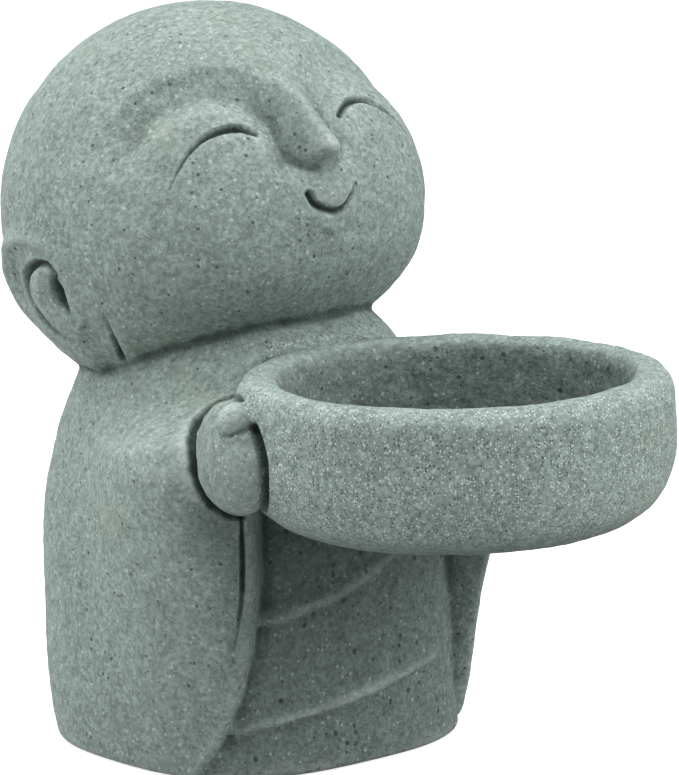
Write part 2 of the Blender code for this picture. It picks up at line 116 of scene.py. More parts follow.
def nearest_on_line(points: Array, line: Array) -> tuple[Array, Array, Array]:
    """Find the nearest place on a polyline for each point.

    For each stretch the foot of the point is clamped to the stretch, and the nearest foot wins.

    Args:
        points: an array (n, d) of points.
        line: an array (m, d) of the polyline's corners.

    Returns:
        The distances (n,), the shares of the line's length at the feet (n,), and the feet (n, d).
    """
    start, run = line[:-1], np.diff(line, axis=0)
    offset = points[:, None] - start[None]
    along = np.clip((offset * run).sum(-1) / (run * run).sum(-1), 0.0, 1.0)
    feet = start + run * along[..., None]
    gaps = np.linalg.norm(points[:, None] - feet, axis=-1)
    best = gaps.argmin(axis=1)
    rows = np.arange(len(points))
    lengths = np.linalg.norm(run, axis=-1)
    before = np.concatenate([[0.0], np.cumsum(lengths)])
    share = (before[best] + along[rows, best] * lengths[best]) / before[-1]
    return gaps[rows, best], share, feet[rows, best]


def run_through(values: Row, share: Array) -> Array:
    """Read a row of evenly spaced values at shares of its length, straight between them."""
    return np.interp(share, np.linspace(0.0, 1.0, len(values)), values)


def lattice_random(corners: Array, seed: int) -> Array:
    """Give each whole-number corner (n, 3) its own fixed number between -1 and 1, by mixing its bits."""
    mixed = corners.astype(np.uint64)
    key = (mixed[:, 0] * np.uint64(73856093) ^ mixed[:, 1] * np.uint64(19349663)
           ^ mixed[:, 2] * np.uint64(83492791) ^ np.uint64(seed * 2654435761 % 2 ** 32))
    key = (key ^ (key >> np.uint64(13))) * np.uint64(1274126177) % np.uint64(2 ** 32)
    key = (key ^ (key >> np.uint64(16))) * np.uint64(2246822519) % np.uint64(2 ** 32)
    return key.astype(float) / 2 ** 31 - 1.0


def value_noise(points: Array, cell: float, seed: int) -> Array:
    """Smooth random waves about one cell long.

    Each corner of a cubic lattice has a random number, and a point blends the eight corners
    around it, weighted by the smooth shares of its place between them.

    Args:
        points: an array (n, 3), in metres.
        cell: the lattice's spacing, in metres.
        seed: which set of random numbers to use.

    Returns:
        Numbers between -1 and 1, shape (n,).
    """
    place = points / cell
    corner = np.floor(place).astype(np.int64)
    share = place - corner
    share = share * share * (3.0 - 2.0 * share)
    total = np.zeros(len(points))
    for step in itertools.product((0, 1), repeat=3):
        sides = np.where(np.array(step) == 1, share, 1.0 - share)
        total += lattice_random(corner + np.array(step), seed) * sides.prod(axis=1)
    return total


@dataclass
class Shell:
    """A closed skin: its points and its triangles, facing out."""

    points: Array
    triangles: Array

    @classmethod
    def from_rings(cls, rings: Array) -> "Shell":
        """Close a stack of rings, each of which goes round, with a fan at either end.

        Args:
            rings: an array (rows, columns, 3). The rings turn anticlockwise seen from the last.

        Returns:
            The shell, whose two poles are the middles of the first and last ring.
        """
        rows, columns = rings.shape[:2]
        row, column = np.meshgrid(np.arange(rows - 1), np.arange(columns), indexing="ij")
        after = (column + 1) % columns
        a, b = row * columns + column, row * columns + after
        c, d = (row + 1) * columns + after, (row + 1) * columns + column
        sides = np.concatenate([np.stack([a, b, c], -1).reshape(-1, 3),
                                np.stack([a, c, d], -1).reshape(-1, 3)])
        ring = np.arange(columns)
        turned = (ring + 1) % columns
        first = np.stack([turned, ring, np.full(columns, rows * columns)], -1)
        top = (rows - 1) * columns
        last = np.stack([top + ring, top + turned, np.full(columns, rows * columns + 1)], -1)
        poles = np.stack([rings[0].mean(axis=0), rings[-1].mean(axis=0)])
        return cls(np.vstack([rings.reshape(-1, 3), poles]), np.concatenate([sides, first, last]))

    def to_mesh(self, name: str) -> bpy.types.Mesh:
        """Put the points and triangles into a new mesh of that name."""
        mesh = bpy.data.meshes.new(name)
        mesh.vertices.add(len(self.points))
        mesh.vertices.foreach_set("co", self.points.astype(np.float32).ravel())
        mesh.loops.add(self.triangles.size)
        mesh.loops.foreach_set("vertex_index", self.triangles.astype(np.int32).ravel())
        mesh.polygons.add(len(self.triangles))
        mesh.polygons.foreach_set("loop_start", np.arange(0, self.triangles.size, 3, dtype=np.int32))
        mesh.update(calc_edges=True)
        mesh.validate()
        return mesh


def join_shells(shells: list[Shell]) -> Shell:
    """Put several shells into one, side by side."""
    offsets = np.cumsum([0] + [len(shell.points) for shell in shells[:-1]])
    triangles = [shell.triangles + offset for shell, offset in zip(shells, offsets)]
    return Shell(np.vstack([shell.points for shell in shells]), np.concatenate(triangles))


# The bowl


@dataclass
class Bowl:
    """The thick round bowl. Its place and width come from the frame, its walls from their own sizes."""

    centre_y: float
    floor_z: float
    radius: float
    wall: float = 8.6 * MILLIMETRE
    depth: float = 23.6 * MILLIMETRE
    bottom: float = 6.4 * MILLIMETRE
    lip_round: float = 3.2 * MILLIMETRE
    rim_round: float = 4.2 * MILLIMETRE
    foot_round: float = 14.6 * MILLIMETRE
    floor_round: float = 5.0 * MILLIMETRE
    # How far down and how wide the painted shadow under the bowl reaches.
    shadow_depth: float = 62.0 * MILLIMETRE
    shadow_reach: Pair = (0.98, 1.2)
    rim_fade: float = 1.5 * MILLIMETRE
    rim_margin: float = 2.0 * MILLIMETRE
    outside_fade: Pair = mm(0.6, 1.6)
    rim_share: float = 0.2
    foot_share: float = 1.6
    step: float = 0.7 * MILLIMETRE
    columns: int = 440
    arc_steps: int = 14

    @classmethod
    def from_frame(cls, record: dict) -> "Bowl":
        """Read the bowl's place from the record's mount on its floor, and its width from the box."""
        mount = next(m for m in record["mounts"] if m["name"] == "bowl_floor")
        _, y, z = mount["pos_m"]
        low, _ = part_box(NODE)
        return cls(centre_y=y, floor_z=z, radius=y - low.y)

    @property
    def inner_radius(self) -> float:
        """Radius of the bowl's inside."""
        return self.radius - self.wall

    @property
    def rim_z(self) -> float:
        """Height of the rim."""
        return self.floor_z + self.depth

    def outer_radius(self, level: Array) -> Array:
        """Radius of the outside at heights in metres: the wall's, drawn in over the quarter-round foot."""
        drop = np.clip(self.floor_z - self.bottom + self.foot_round - level, 0.0, self.foot_round)
        return self.radius - self.foot_round + np.sqrt(self.foot_round ** 2 - drop ** 2)

    def profile(self) -> Array:
        """Run from the underside's middle round the foot, wall and lips to the floor's middle.

        The corners are arcs: the foot, the rim's outer and inner lips and the floor's edge, and
        straight lines join them.

        Returns:
            Points (n, 2) of radius and height.
        """
        low, rim = self.floor_z - self.bottom, self.rim_z
        outer, inner = self.radius, self.inner_radius

        def arc(r: float, z: float, size: float, start: float, stop: float) -> Array:
            turn = np.radians(np.linspace(start, stop, self.arc_steps))
            return np.stack([r + size * np.cos(turn), z + size * np.sin(turn)], axis=-1)

        corners = [arc(outer - self.foot_round, low + self.foot_round, self.foot_round, -90.0, 0.0),
                   arc(outer - self.rim_round, rim - self.rim_round, self.rim_round, 0.0, 90.0),
                   arc(inner + self.lip_round, rim - self.lip_round, self.lip_round, 90.0, 180.0),
                   arc(inner - self.floor_round, self.floor_z + self.floor_round, self.floor_round,
                       0.0, -90.0)]
        middle = 0.5 * MILLIMETRE
        ends = [np.array([[middle, low]]), *corners, np.array([[middle, self.floor_z]])]
        return np.vstack(ends)

    def shell(self) -> Shell:
        """Turn the profile about the upright: x = r sin a, y = centre - r cos a."""
        outline = spread_along(self.profile(), self.step)
        turn = np.arange(self.columns) * 2.0 * np.pi / self.columns
        radius, height = outline[:, :1], outline[:, 1:]
        return Shell.from_rings(np.stack([radius * np.sin(turn), self.centre_y - radius * np.cos(turn),
                                          height + 0.0 * turn], axis=-1))

    def away(self, points: Array) -> Array:
        """Distance of points from the bowl's upright axis."""
        return np.hypot(points[..., 0], points[..., 1] - self.centre_y)

    def inside(self, points: Array) -> Array:
        """Tell how far into the bowl's hollow each point is: 1 well inside and 0 outside."""
        lip = self.inner_radius + self.lip_round
        within = 1.0 - smoothstep(self.inner_radius, lip, self.away(points))
        return (within * smoothstep(self.floor_z - self.lip_round, self.floor_z, points[:, 2])
                * (1.0 - smoothstep(self.rim_z - self.rim_fade, self.rim_z, points[:, 2])))

    def shelter(self, points: Array) -> Array:
        """Tell where shadow is painted below the bowl: 1 right under it, fading down and to the sides."""
        half_foot = 0.5 * self.foot_round
        drop = self.floor_z - self.bottom + half_foot - points[:, 2]
        low, high = (share * self.radius for share in self.shadow_reach)
        return ((1.0 - smoothstep(low, high, self.away(points))) * smoothstep(0.0, half_foot, drop)
                * (1.0 - smoothstep(half_foot, self.shadow_depth, drop)))

    def nearness(self, points: Array) -> Array:
        """Tell which points are on the bowl's own outside and rim: 1 there and 0 elsewhere."""
        away = self.away(points)
        beyond = smoothstep(self.radius - self.wall, self.radius - self.rim_share * self.wall, away)
        foot = self.floor_z - self.foot_share * self.bottom
        level = smoothstep(foot, self.floor_z - self.bottom, points[:, 2])
        start, end = self.outside_fade
        below = 1.0 - smoothstep(self.radius + start, self.radius + end, away)
        return beyond * level * below * (points[:, 2] < self.rim_z + self.rim_margin)


def spread_along(outline: Array, step: float) -> Array:
    """Place points evenly, about one step apart, along a line of given corners.

    Args:
        outline: an array (n, d) of corners.
        step: the wanted spacing, in metres.

    Returns:
        An array (m, d) that follows the corners.
    """
    lengths = np.linalg.norm(np.diff(outline, axis=0), axis=1)
    along = np.concatenate([[0.0], np.cumsum(lengths)])
    places = np.linspace(0.0, along[-1], int(along[-1] / step) + 2)
    return np.stack([np.interp(places, along, column) for column in outline.T], axis=-1)


# Hands


@dataclass
class Hands:
    """Two egg-shaped hands against the bowl's wall, each with a thumb on top.

    Half sizes (outwards, back, up) and places are shares of the statue's height, and angles are
    in degrees: how far round the bowl a hand sits, and how far it is turned.
    """

    bowl: Bowl
    height: float
    half_sizes: Triple = (0.045, 0.102, 0.0735)
    round_angle: float = 30.0
    turn: float = 24.0
    out: float = 0.007
    level: float = 0.462
    egg: float = -0.05
    thumb_sizes: Triple = (0.0265, 0.029, 0.0255)
    thumb_place: Triple = (0.008, -0.047, 0.0565)
    # How wide and how far down the painted shadow under each hand reaches.
    shadow_radii: Pair = mm(6.0, 15.0)
    shadow_depths: Triple = mm(3.0, 4.0, 24.0)
    columns: int = 96
    rows: int = 64

    def centre(self, side: float) -> Array:
        """Middle of the hand on a side, -1 for the right hand and 1 for the left."""
        reach = self.bowl.radius + self.out * self.height
        turned = math.radians(self.round_angle)
        return np.array([side * reach * math.cos(turned),
                         self.bowl.centre_y + reach * math.sin(turned),
                         self.level * self.height])

    def turned(self, side: float, local: Array) -> Array:
        """Turn points from a hand's own axes (outwards, back, up) into the statue's."""
        angle = math.radians(self.turn)
        out, back, up = local[..., 0], local[..., 1], local[..., 2]
        x = side * (out * math.cos(angle) - back * math.sin(angle))
        y = out * math.sin(angle) + back * math.cos(angle)
        return np.stack([x, y, up], axis=-1)

    def egg_points(self, side: float, centre: Array, unit: Array,
                   sizes: Array | tuple | None = None, egg: float | None = None) -> Array:
        """Stretch directions to an egg: each times the half sizes, its width times (1 + egg up).

        Args:
            side: -1 for the right hand and 1 for the left.
            centre: the middle of the egg.
            unit: directions of length one in the hand's own axes (outwards, back, up).
            sizes: its three half sizes as shares of the height, or none for the hand's.
            egg: how much wider its top is than its bottom, or none for the hand's.

        Returns:
            Points in metres, of the shape of the directions.
        """
        half = np.array(self.half_sizes if sizes is None else sizes) * self.height
        share = self.egg if egg is None else egg
        widen = 1.0 + share * unit[..., 2:]
        local = unit * half * np.concatenate([widen, widen, np.ones_like(widen)], axis=-1)
        return self.turned(side, local) + centre

    def gap(self, side: float, points: Array) -> Array:
        """How far outside a hand's egg points lie, in metres, near enough."""
        offset = points - self.centre(side)
        angle = math.radians(self.turn)
        out = side * offset[..., 0] * math.cos(angle) + offset[..., 1] * math.sin(angle)
        back = offset[..., 1] * math.cos(angle) - side * offset[..., 0] * math.sin(angle)
        local = np.stack([out, back, offset[..., 2]], axis=-1) / (np.array(self.half_sizes) * self.height)
        return (np.linalg.norm(local, axis=-1) - 1.0) * self.half_sizes[0] * self.height

    def shelter(self, points: Array) -> Array:
        """Tell where shadow is painted below a hand: 1 right under it, fading down and to the sides."""
        near, start, full = self.shadow_depths
        total = np.zeros(len(points))
        for side in (-1.0, 1.0):
            x, y, z = self.centre(side)
            away = np.hypot(points[:, 0] - x, points[:, 1] - y)
            drop = z - self.half_sizes[2] * self.height + near - points[:, 2]
            total += ((1.0 - smoothstep(*self.shadow_radii, away)) * smoothstep(0.0, near, drop)
                      * (1.0 - smoothstep(start, full, drop)))
        return total

    def nearest(self, points: Array) -> Array:
        """How far outside the nearer hand points lie, in metres, near enough."""
        return np.minimum(self.gap(-1.0, points), self.gap(1.0, points))

    def directions(self, side: float) -> Array:
        """Directions over a ball: with a the turn and b the lift, (cos b cos a, cos b sin a, sin b)."""
        lift = np.radians(np.linspace(-89.0, 89.0, self.rows))[:, None]
        turn = side * np.arange(self.columns)[None, :] * 2.0 * np.pi / self.columns
        return np.stack([np.cos(lift) * np.cos(turn), np.cos(lift) * np.sin(turn),
                         np.sin(lift) + 0.0 * turn], axis=-1)

    def shells(self) -> list[Shell]:
        """Make both hands and both thumbs."""
        made = []
        for side in (-1.0, 1.0):
            centre, unit = self.centre(side), self.directions(side)
            made.append(Shell.from_rings(self.egg_points(side, centre, unit)))
            thumb = centre + self.turned(side, np.array(self.thumb_place) * self.height)
            made.append(Shell.from_rings(self.egg_points(side, thumb, unit, self.thumb_sizes, 0.0)))
        return made


# The robe


@dataclass
class Robe:
    """The plain robe: a rounded block with a tucked hem, a domed shoulder, sleeves and a front panel.

    Lengths are shares of the statue's height, and angles are in degrees off the front.
    """

    height: float
    hands: Hands
    half_width: float = 0.268
    half_depth: float = 0.262
    squareness: float = 2.7
    shoulder_squareness: float = 2.1
    hem_height: float = 0.167
    hem_tuck: float = 0.045
    hem_round: float = 0.011
    shoulder_start: float = 0.267
    shoulder_top: float = 0.667
    shoulder_power: float = 2.1
    shoulder_tilt: float = 0.22
    shoulder_setback: float = 0.070
    setback_power: float = 1.5
    panel_inset: float = 0.0175
    panel_rise: Pair = (-0.035, 0.075)
    panel_fade: Pair = (0.375, 0.450)
    edge_angle: float = 36.0
    edge_flare: float = 22.0
    edge_flare_height: float = 0.127
    edge_turn: float = 2.6
    rim_rise: float = 0.0045
    rim_turn: float = 1.7
    swell_turn: float = 52.0
    swell_shift: float = 6.0
    swell_power: float = 2.1
    swell_low: float = 0.025
    swell_roof: Pair = (0.024, 0.096)
    hand_bedding: float = 0.005
    rim_setback: float = 0.6
    chest_in_wall: float = 0.55
    chest_push: Pair = (0.6, 0.1)
    hem_steps: int = 8
    side_steps: int = 60
    dome_steps: int = 90
    dome_end: float = 88.0
    columns: int = 460

    def rise(self, level: Array) -> Array:
        """Share of the way from the start of the shoulders to their top, by level."""
        return np.clip((level - self.shoulder_start) / (self.shoulder_top - self.shoulder_start), 0.0, 1.0)

    def centre_y(self, level: Array) -> Array:
        """Fore and aft place of the middle: setback times the rise to a power."""
        return self.shoulder_setback * self.rise(level) ** self.setback_power

    def tilt(self, level: Array) -> Array:
        """Slope of the level rings, 0 at the hem and rising forwards at the shoulders."""
        middle = 0.5 * (self.shoulder_start + self.shoulder_top)
        return self.shoulder_tilt * smoothstep(self.shoulder_start, middle, level)

    def edge(self, level: Array) -> Array:
        """Angle of the sleeves' front edges: a constant, plus a flare that dies away upwards."""
        return self.edge_angle + self.edge_flare * np.exp(-level / self.edge_flare_height)

    def core(self, angle: Array, level: Array) -> Array:
        """Distance of the plain skin from the middle.

        The plan is a superellipse, (|sin a| / width)^n + (|cos a| / depth)^n = 1 / r^n. It
        shrinks quadratically towards the hem, and up the shoulders as (1 - rise^p)^(1 / p).

        Args:
            angle: angles off the front, in degrees.
            level: levels, as shares of the height.

        Returns:
            Distances, as shares of the height.
        """
        rise = self.rise(level)
        power = self.squareness + (self.shoulder_squareness - self.squareness) * rise
        across = np.abs(np.sin(np.radians(angle))) / self.half_width
        along = np.abs(np.cos(np.radians(angle))) / self.half_depth
        plan = (across ** power + along ** power) ** (-1.0 / power)
        hem = 1.0 - self.hem_tuck * np.clip(1.0 - level / self.hem_height, 0.0, 1.0) ** 2
        return plan * hem * (1.0 - rise ** self.shoulder_power) ** (1.0 / self.shoulder_power)

    def hand_place(self) -> Pair:
        """Angle off the front and level at which a hand meets the robe."""
        x, y, z = self.hands.centre(1.0) / self.height
        return math.degrees(math.atan2(x, -y)), z + self.shoulder_tilt * y

    def swell(self, off_front: Array, level: Array) -> Array:
        """Bulge of the sleeves out to the hands.

        It is the reach that the hand needs, times a power of the climb from the hem to the hand,
        times a fade above it, times the square of the cosine of the turn away from it.
        """
        x, y, _ = self.hands.centre(1.0) / self.height
        angle, hand_level = self.hand_place()
        angle += self.swell_shift
        core = float(self.core(np.array(angle), np.array(hand_level)))
        reach = math.hypot(x, y) - self.hand_bedding - core
        climb = np.clip((level - self.swell_low) / (hand_level - self.swell_low), 0.0, 1.0)
        roof = 1.0 - smoothstep(hand_level + self.swell_roof[0], hand_level + self.swell_roof[1], level)
        around = np.clip(np.abs(off_front - angle) / self.swell_turn, 0.0, 1.0)
        return reach * climb ** self.swell_power * roof * np.cos(0.5 * np.pi * around) ** 2

    def panel(self, off_front: Array, level: Array) -> Array:
        """Tell where the front panel is: 1 on it, falling to 0 at the sleeves and at the chest."""
        edge = self.edge(level)
        below = 1.0 - smoothstep(*self.panel_fade, level)
        return (1.0 - smoothstep(edge - self.edge_turn, edge, off_front)) * below

    def skin(self, angle: Array, level: Array) -> Array:
        """Distance of the skin from the middle, with the panel and the sleeves.

        It is the core plus the sleeves' swell and the soft rim along their front edges, or the
        core less the panel's inset in front.
        """
        off_front = np.abs((angle + 180.0) % 360.0 - 180.0)
        panel = self.panel(off_front, level)
        below = 1.0 - smoothstep(*self.panel_fade, level)
        rim = self.rim_rise * bump((off_front - self.edge(level) - self.rim_setback * self.rim_turn)
                                   / self.rim_turn) * below
        sink = self.panel_inset * smoothstep(*self.panel_rise, level)
        swell = self.swell(off_front, level) + rim
        return self.core(angle, level) - sink * panel + swell * (1.0 - panel)

    def place(self, points: Array) -> tuple[Array, Array]:
        """Find the angle off the front and the level of points in metres, by three trial rounds."""
        x, y, z = (points[..., axis] / self.height for axis in range(3))
        level = z
        for _ in range(3):
            level = z + self.tilt(level) * y
        return np.degrees(np.arctan2(x, self.centre_y(level) - y)), level

    def gap(self, points: Array) -> Array:
        """How far outside the robe's skin points lie, in metres along the radius."""
        angle, level = self.place(points)
        x, y = points[..., 0] / self.height, points[..., 1] / self.height
        return (np.hypot(x, y - self.centre_y(level)) - self.skin(angle, level)) * self.height

    def point(self, angle: Array, level: Array, inset: Array | float = 0.0) -> Array:
        """Place a point of the skin.

        Args:
            angle: angles from the front towards the figure's left, in degrees.
            level: levels, as shares of the height.
            inset: how far inside the skin the point lies, as a share of the height.

        Returns:
            Points in metres, shape (..., 3).
        """
        angle, level = np.broadcast_arrays(np.asarray(angle, float), np.asarray(level, float))
        radius = self.skin(angle, level) - inset
        turned = np.radians(angle)
        y = self.centre_y(level) - radius * np.cos(turned)
        x = radius * np.sin(turned)
        return np.stack([x, y, level - self.tilt(level) * y], axis=-1) * self.height

    def shell(self) -> Shell:
        """Loft the robe over a grid of angles and levels, and let it into the bowl's wall.

        Returns:
            The closed shell, its hem a quarter round.
        """
        hem = np.radians(np.linspace(0.0, 90.0, self.hem_steps))
        low = self.hem_round * (1.0 - np.cos(hem))
        insets = self.hem_round * (1.0 - np.sin(hem))
        sides = np.linspace(self.hem_round, self.shoulder_start, self.side_steps)[1:]
        share = np.sin(np.radians(np.linspace(0.0, self.dome_end, self.dome_steps)[1:]))
        dome = self.shoulder_start + (self.shoulder_top - self.shoulder_start) * share
        levels = np.concatenate([low, sides, dome])[:, None]
        inset = np.concatenate([insets, np.zeros(len(sides) + len(dome))])[:, None]
        angles = np.arange(self.columns)[None, :] * 360.0 / self.columns
        return Shell.from_rings(self.let_into_bowl(self.point(angles, levels, inset)))

    def let_into_bowl(self, points: Array) -> Array:
        """Keep the chest out of the bowl's hollow: push it back into the middle of the bowl's wall."""
        bowl = self.hands.bowl
        middle = np.array([0.0, bowl.centre_y])
        offset = points[..., :2] - middle
        away = np.linalg.norm(offset, axis=-1, keepdims=True)
        wanted = bowl.inner_radius + self.chest_in_wall * bowl.wall
        low, high = (bowl.floor_z - share * bowl.bottom for share in self.chest_push)
        share = smoothstep(low, high, points[..., 2:])
        pushed = middle + offset / away * np.maximum(away, wanted)
        return np.concatenate([points[..., :2] * (1.0 - share) + pushed * share, points[..., 2:]], axis=-1)


# The head


@dataclass
class Ear:
    """An ear, drawn on the ball of the head in degrees: away from the nose, and up.

    Its raised parts are bells as wide as some degrees. Its grooves are carved lines. Heights,
    depths and the grooves' half widths are in millimetres of a statue 150 mm tall.
    """

    radius_mm: float = 42.3
    plate: Line = ((97.0, -8.0), (99.0, -16.0), (92.0, -29.0), (86.0, -35.0))
    plate_width: float = 15.0
    plate_rise: float = 1.0
    helix: Line = ((86.0, -2.5), (91.5, 3.2), (100.0, 5.6), (108.5, 4.4), (114.0, -1.0), (115.0, -9.0),
                   (111.5, -18.5), (105.5, -27.0), (98.0, -34.0))
    helix_widths: Row = (3.0, 3.8, 4.8, 5.6, 5.6, 5.2, 5.2, 5.6, 6.4)
    helix_rises: Row = (0.3, 1.2, 1.9, 2.1, 1.9, 1.2, 0.8, 0.8, 1.0)
    inner: Line = ((95.0, -9.5), (96.5, -14.0), (94.5, -20.0), (90.5, -25.0))
    inner_width: float = 5.2
    inner_rise: float = 1.2
    groove: Line = ((86.0, -9.0), (87.6, -5.6), (92.0, -3.7), (98.0, -4.2), (103.0, -6.6), (105.2, -10.5),
                    (104.8, -15.5), (102.0, -20.5), (98.5, -24.0), (95.0, -26.5))
    groove_half_widths: Row = (0.9, 1.0, 1.4, 2.0, 2.1, 1.9, 1.5, 1.0)
    groove_depths: Row = (1.0, 1.5, 2.1, 2.4, 2.4, 2.1, 1.7, 0.9)
    hollow: Line = ((87.6, -9.5), (88.4, -12.5), (88.8, -15.5), (88.4, -19.5))
    hollow_half_widths: Row = (1.3, 2.6, 2.1, 0.8)
    hollow_depths: Row = (1.5, 2.9, 2.2, 0.8)
    crease: Line = ((76.8, -24.5), (77.8, -27.5), (79.5, -31.2), (82.4, -35.0), (86.7, -39.0))
    crease_half_widths: Row = (0.6, 0.8, 0.9, 1.0)
    crease_depths: Row = (0.4, 0.9, 1.3, 1.5)

    def height(self, away: Array, up: Array) -> Array:
        """Add up the ear's plate, its rolled rim and its inner fold over the ball.

        Each is a soft bell across its own curve; the widths and heights run along it. Angles away
        from the nose shrink with the cosine of the latitude, so that a degree is as long both ways.

        Args:
            away: angles away from the nose, in degrees, positive on either side.
            up: latitudes, in degrees.

        Returns:
            Heights as shares of the head's radius.
        """
        flat = np.stack([away * np.cos(np.radians(up)), up], axis=-1)
        rise = self.bell(flat, self.plate, (self.plate_width,), (self.plate_rise,))
        rise += self.bell(flat, self.helix, self.helix_widths, self.helix_rises)
        rise += self.bell(flat, self.inner, (self.inner_width,), (self.inner_rise,))
        return rise / self.radius_mm

    @staticmethod
    def bell(flat: Array, line: Line, widths: Row, heights: Row) -> Array:
        """Raise a soft bell along a curve, its width and height running through the given values."""
        knots = np.array(line)
        knots[:, 0] *= np.cos(np.radians(knots[:, 1]))
        distance, share, _ = nearest_on_line(flat, curve_through(knots, 28))
        return bump(distance / run_through(widths, share)) * run_through(heights, share)


@dataclass
class Head:
    """The head: a ball tilted back, with a doll's closed eyes, small nose and smile in low relief.

    Relief heights are shares of the head's radius, and places are degrees: longitude away from
    the nose towards the figure's left, and latitude.
    """

    height: float
    radius_share: float = 0.282
    centre_share: float = 0.083
    pitch: float = 25.0
    roll: float = 4.6
    yaw: float = -3.0
    cheek: Pair = (45.0, -13.0)
    cheek_radius: float = 40.0
    cheek_height: float = 0.060
    socket: Pair = (30.3, 1.0)
    socket_edge: float = 30.8
    socket_floor: float = 22.5
    socket_lid: float = 14.5
    socket_depths: Pair = (0.064, 0.036)
    socket_span: tuple[Pair, Pair] = ((-32.0, -8.0), (128.0, 176.0))
    nose_line: tuple[Pair, Pair] = ((15.3, -0.8), (-2.8, 1.8))
    nose_tip: float = -3.0
    nose_top: float = 25.0
    nose_height: float = 0.118
    nose_half_width: Pair = (7.0, 7.8)
    nose_under: float = 3.6
    nose_power: float = 0.85
    nose_roundness: float = 1.3
    nose_line_reach: Pair = (-0.5, 1.2)
    bulb: Pair = (1.4, -2.6)
    bulb_radius: float = 8.0
    bulb_height: float = 0.020
    muzzle: Pair = (2.0, -13.5)
    muzzle_height: float = 0.032
    muzzle_radius: float = 16.0
    jaw_span: Pair = (28.0, 66.0)
    jaw_drop: float = 0.130
    nape: Pair = (130.0, 34.0)
    nape_span: Pair = (8.0, 26.0)
    nape_depth: float = 0.020
    eye_line: Line = ((41.6, -1.4), (37.6, 3.0), (33.6, 6.4), (29.0, 8.8), (25.0, 9.7), (21.0, 9.6),
                      (17.4, 8.4), (14.2, 6.4))
    mouth_line: Line = ((-5.8, -13.2), (-4.6, -16.2), (-2.0, -18.2), (1.6, -19.4), (4.8, -18.8),
                        (7.6, -16.6), (9.9, -13.6))
    lip_line: Line = ((-5.0, -21.0), (-1.5, -23.0), (2.5, -23.6), (6.5, -22.0))
    nose_crease: Line = ((-8.2, 5.4), (-7.6, 1.4), (-6.4, -2.6), (-3.4, -6.4), (1.6, -8.0), (6.4, -6.2))
    ear: Ear = field(default_factory=Ear)
    ear_box: tuple[Pair, Pair] = ((60.0, 135.0), (-58.0, 24.0))
    columns: int = 620
    rows: int = 380

    @property
    def radius(self) -> float:
        """Radius of the ball, in metres."""
        return self.radius_share * self.height

    @property
    def centre(self) -> Array:
        """Middle of the ball, its crown at the statue's full height."""
        return np.array([0.0, self.centre_share * self.height, self.height - self.radius])

    def turn(self) -> Array:
        """Turn from the head's own axes to the statue's, as a 3 by 3 matrix."""
        turned = (Matrix.Rotation(math.radians(self.roll), 3, "Y").inverted()
                  @ Matrix.Rotation(math.radians(self.yaw), 3, "Z")
                  @ Matrix.Rotation(math.radians(-self.pitch), 3, "X"))
        return np.array(turned)

    def relief(self, longitude: Array, latitude: Array) -> Array:
        """Height of the head over its ball.

        The jaw drops away below, and a bell on either side draws in the nape. The muzzle and the
        ball of the nose are low round rises. Cheeks, eye sockets and the nose's ridge are added.

        Args:
            longitude: degrees from the nose, positive on the figure's left.
            latitude: degrees up.

        Returns:
            Heights as shares of the radius.
        """
        total = -self.jaw_drop * smoothstep(*self.jaw_span, -latitude)
        for side, depth in zip((-1.0, 1.0), self.socket_depths):
            total = total + self.cheek_rise(longitude * side, latitude)
            total = total - self.socket_drop(longitude * side, latitude, depth)
        total = total + self.nose_rise(longitude, latitude)
        total = total + self.bulb_height * self.round_rise(longitude, latitude, self.bulb, self.bulb_radius)
        nape = bump(np.clip((np.abs(longitude) - self.nape[0]) / self.nape[1], -1.0, 1.0))
        total = total - self.nape_depth * nape * smoothstep(*self.nape_span, -latitude)
        muzzle = self.round_rise(longitude, latitude, self.muzzle, self.muzzle_radius)
        return total + self.muzzle_height * muzzle

    @staticmethod
    def round_rise(longitude: Array, latitude: Array, middle: Pair, radius: float) -> Array:
        """A soft bell round a place: 1 in its middle, and 0 beyond its radius in degrees."""
        near = np.hypot(longitude - middle[0], latitude - middle[1]) / radius
        return bump(np.clip(near, 0.0, 1.0))

    def cheek_rise(self, away: Array, latitude: Array) -> Array:
        """Height of a cheek: a squared cosine of the distance from its middle."""
        shrink = np.cos(np.radians(latitude))
        across, above = (away - self.cheek[0]) * shrink, latitude - self.cheek[1]
        near = np.clip(np.hypot(across, above) / self.cheek_radius, 0.0, 1.0)
        return self.cheek_height * np.cos(0.5 * np.pi * near) ** 2

    def socket_drop(self, away: Array, latitude: Array, depth: float) -> Array:
        """Depth of an eye socket.

        It is an arched trough: a quarter sine from its crisp edge under the brow down to its
        floor, and half a cosine from there up to the lid.

        Args:
            away: degrees from the nose, positive on the socket's own side.
            latitude: degrees up.
            depth: the trough's depth, as a share of the radius.

        Returns:
            Depths as shares of the radius.
        """
        shrink = np.cos(np.radians(latitude))
        across, above = (away - self.socket[0]) * shrink, latitude - self.socket[1]
        bearing = np.degrees(np.arctan2(above, -across))
        arch = smoothstep(*self.socket_span[0], bearing) * (1.0 - smoothstep(*self.socket_span[1], bearing))
        out = np.hypot(across, above)
        brow = np.clip((self.socket_edge - out) / (self.socket_edge - self.socket_floor), 0.0, 1.0)
        lid = np.clip((self.socket_floor - out) / (self.socket_floor - self.socket_lid), 0.0, 1.0)
        trough = np.sin(0.5 * np.pi * brow) * (0.5 + 0.5 * np.cos(np.pi * lid))
        return depth * arch * trough

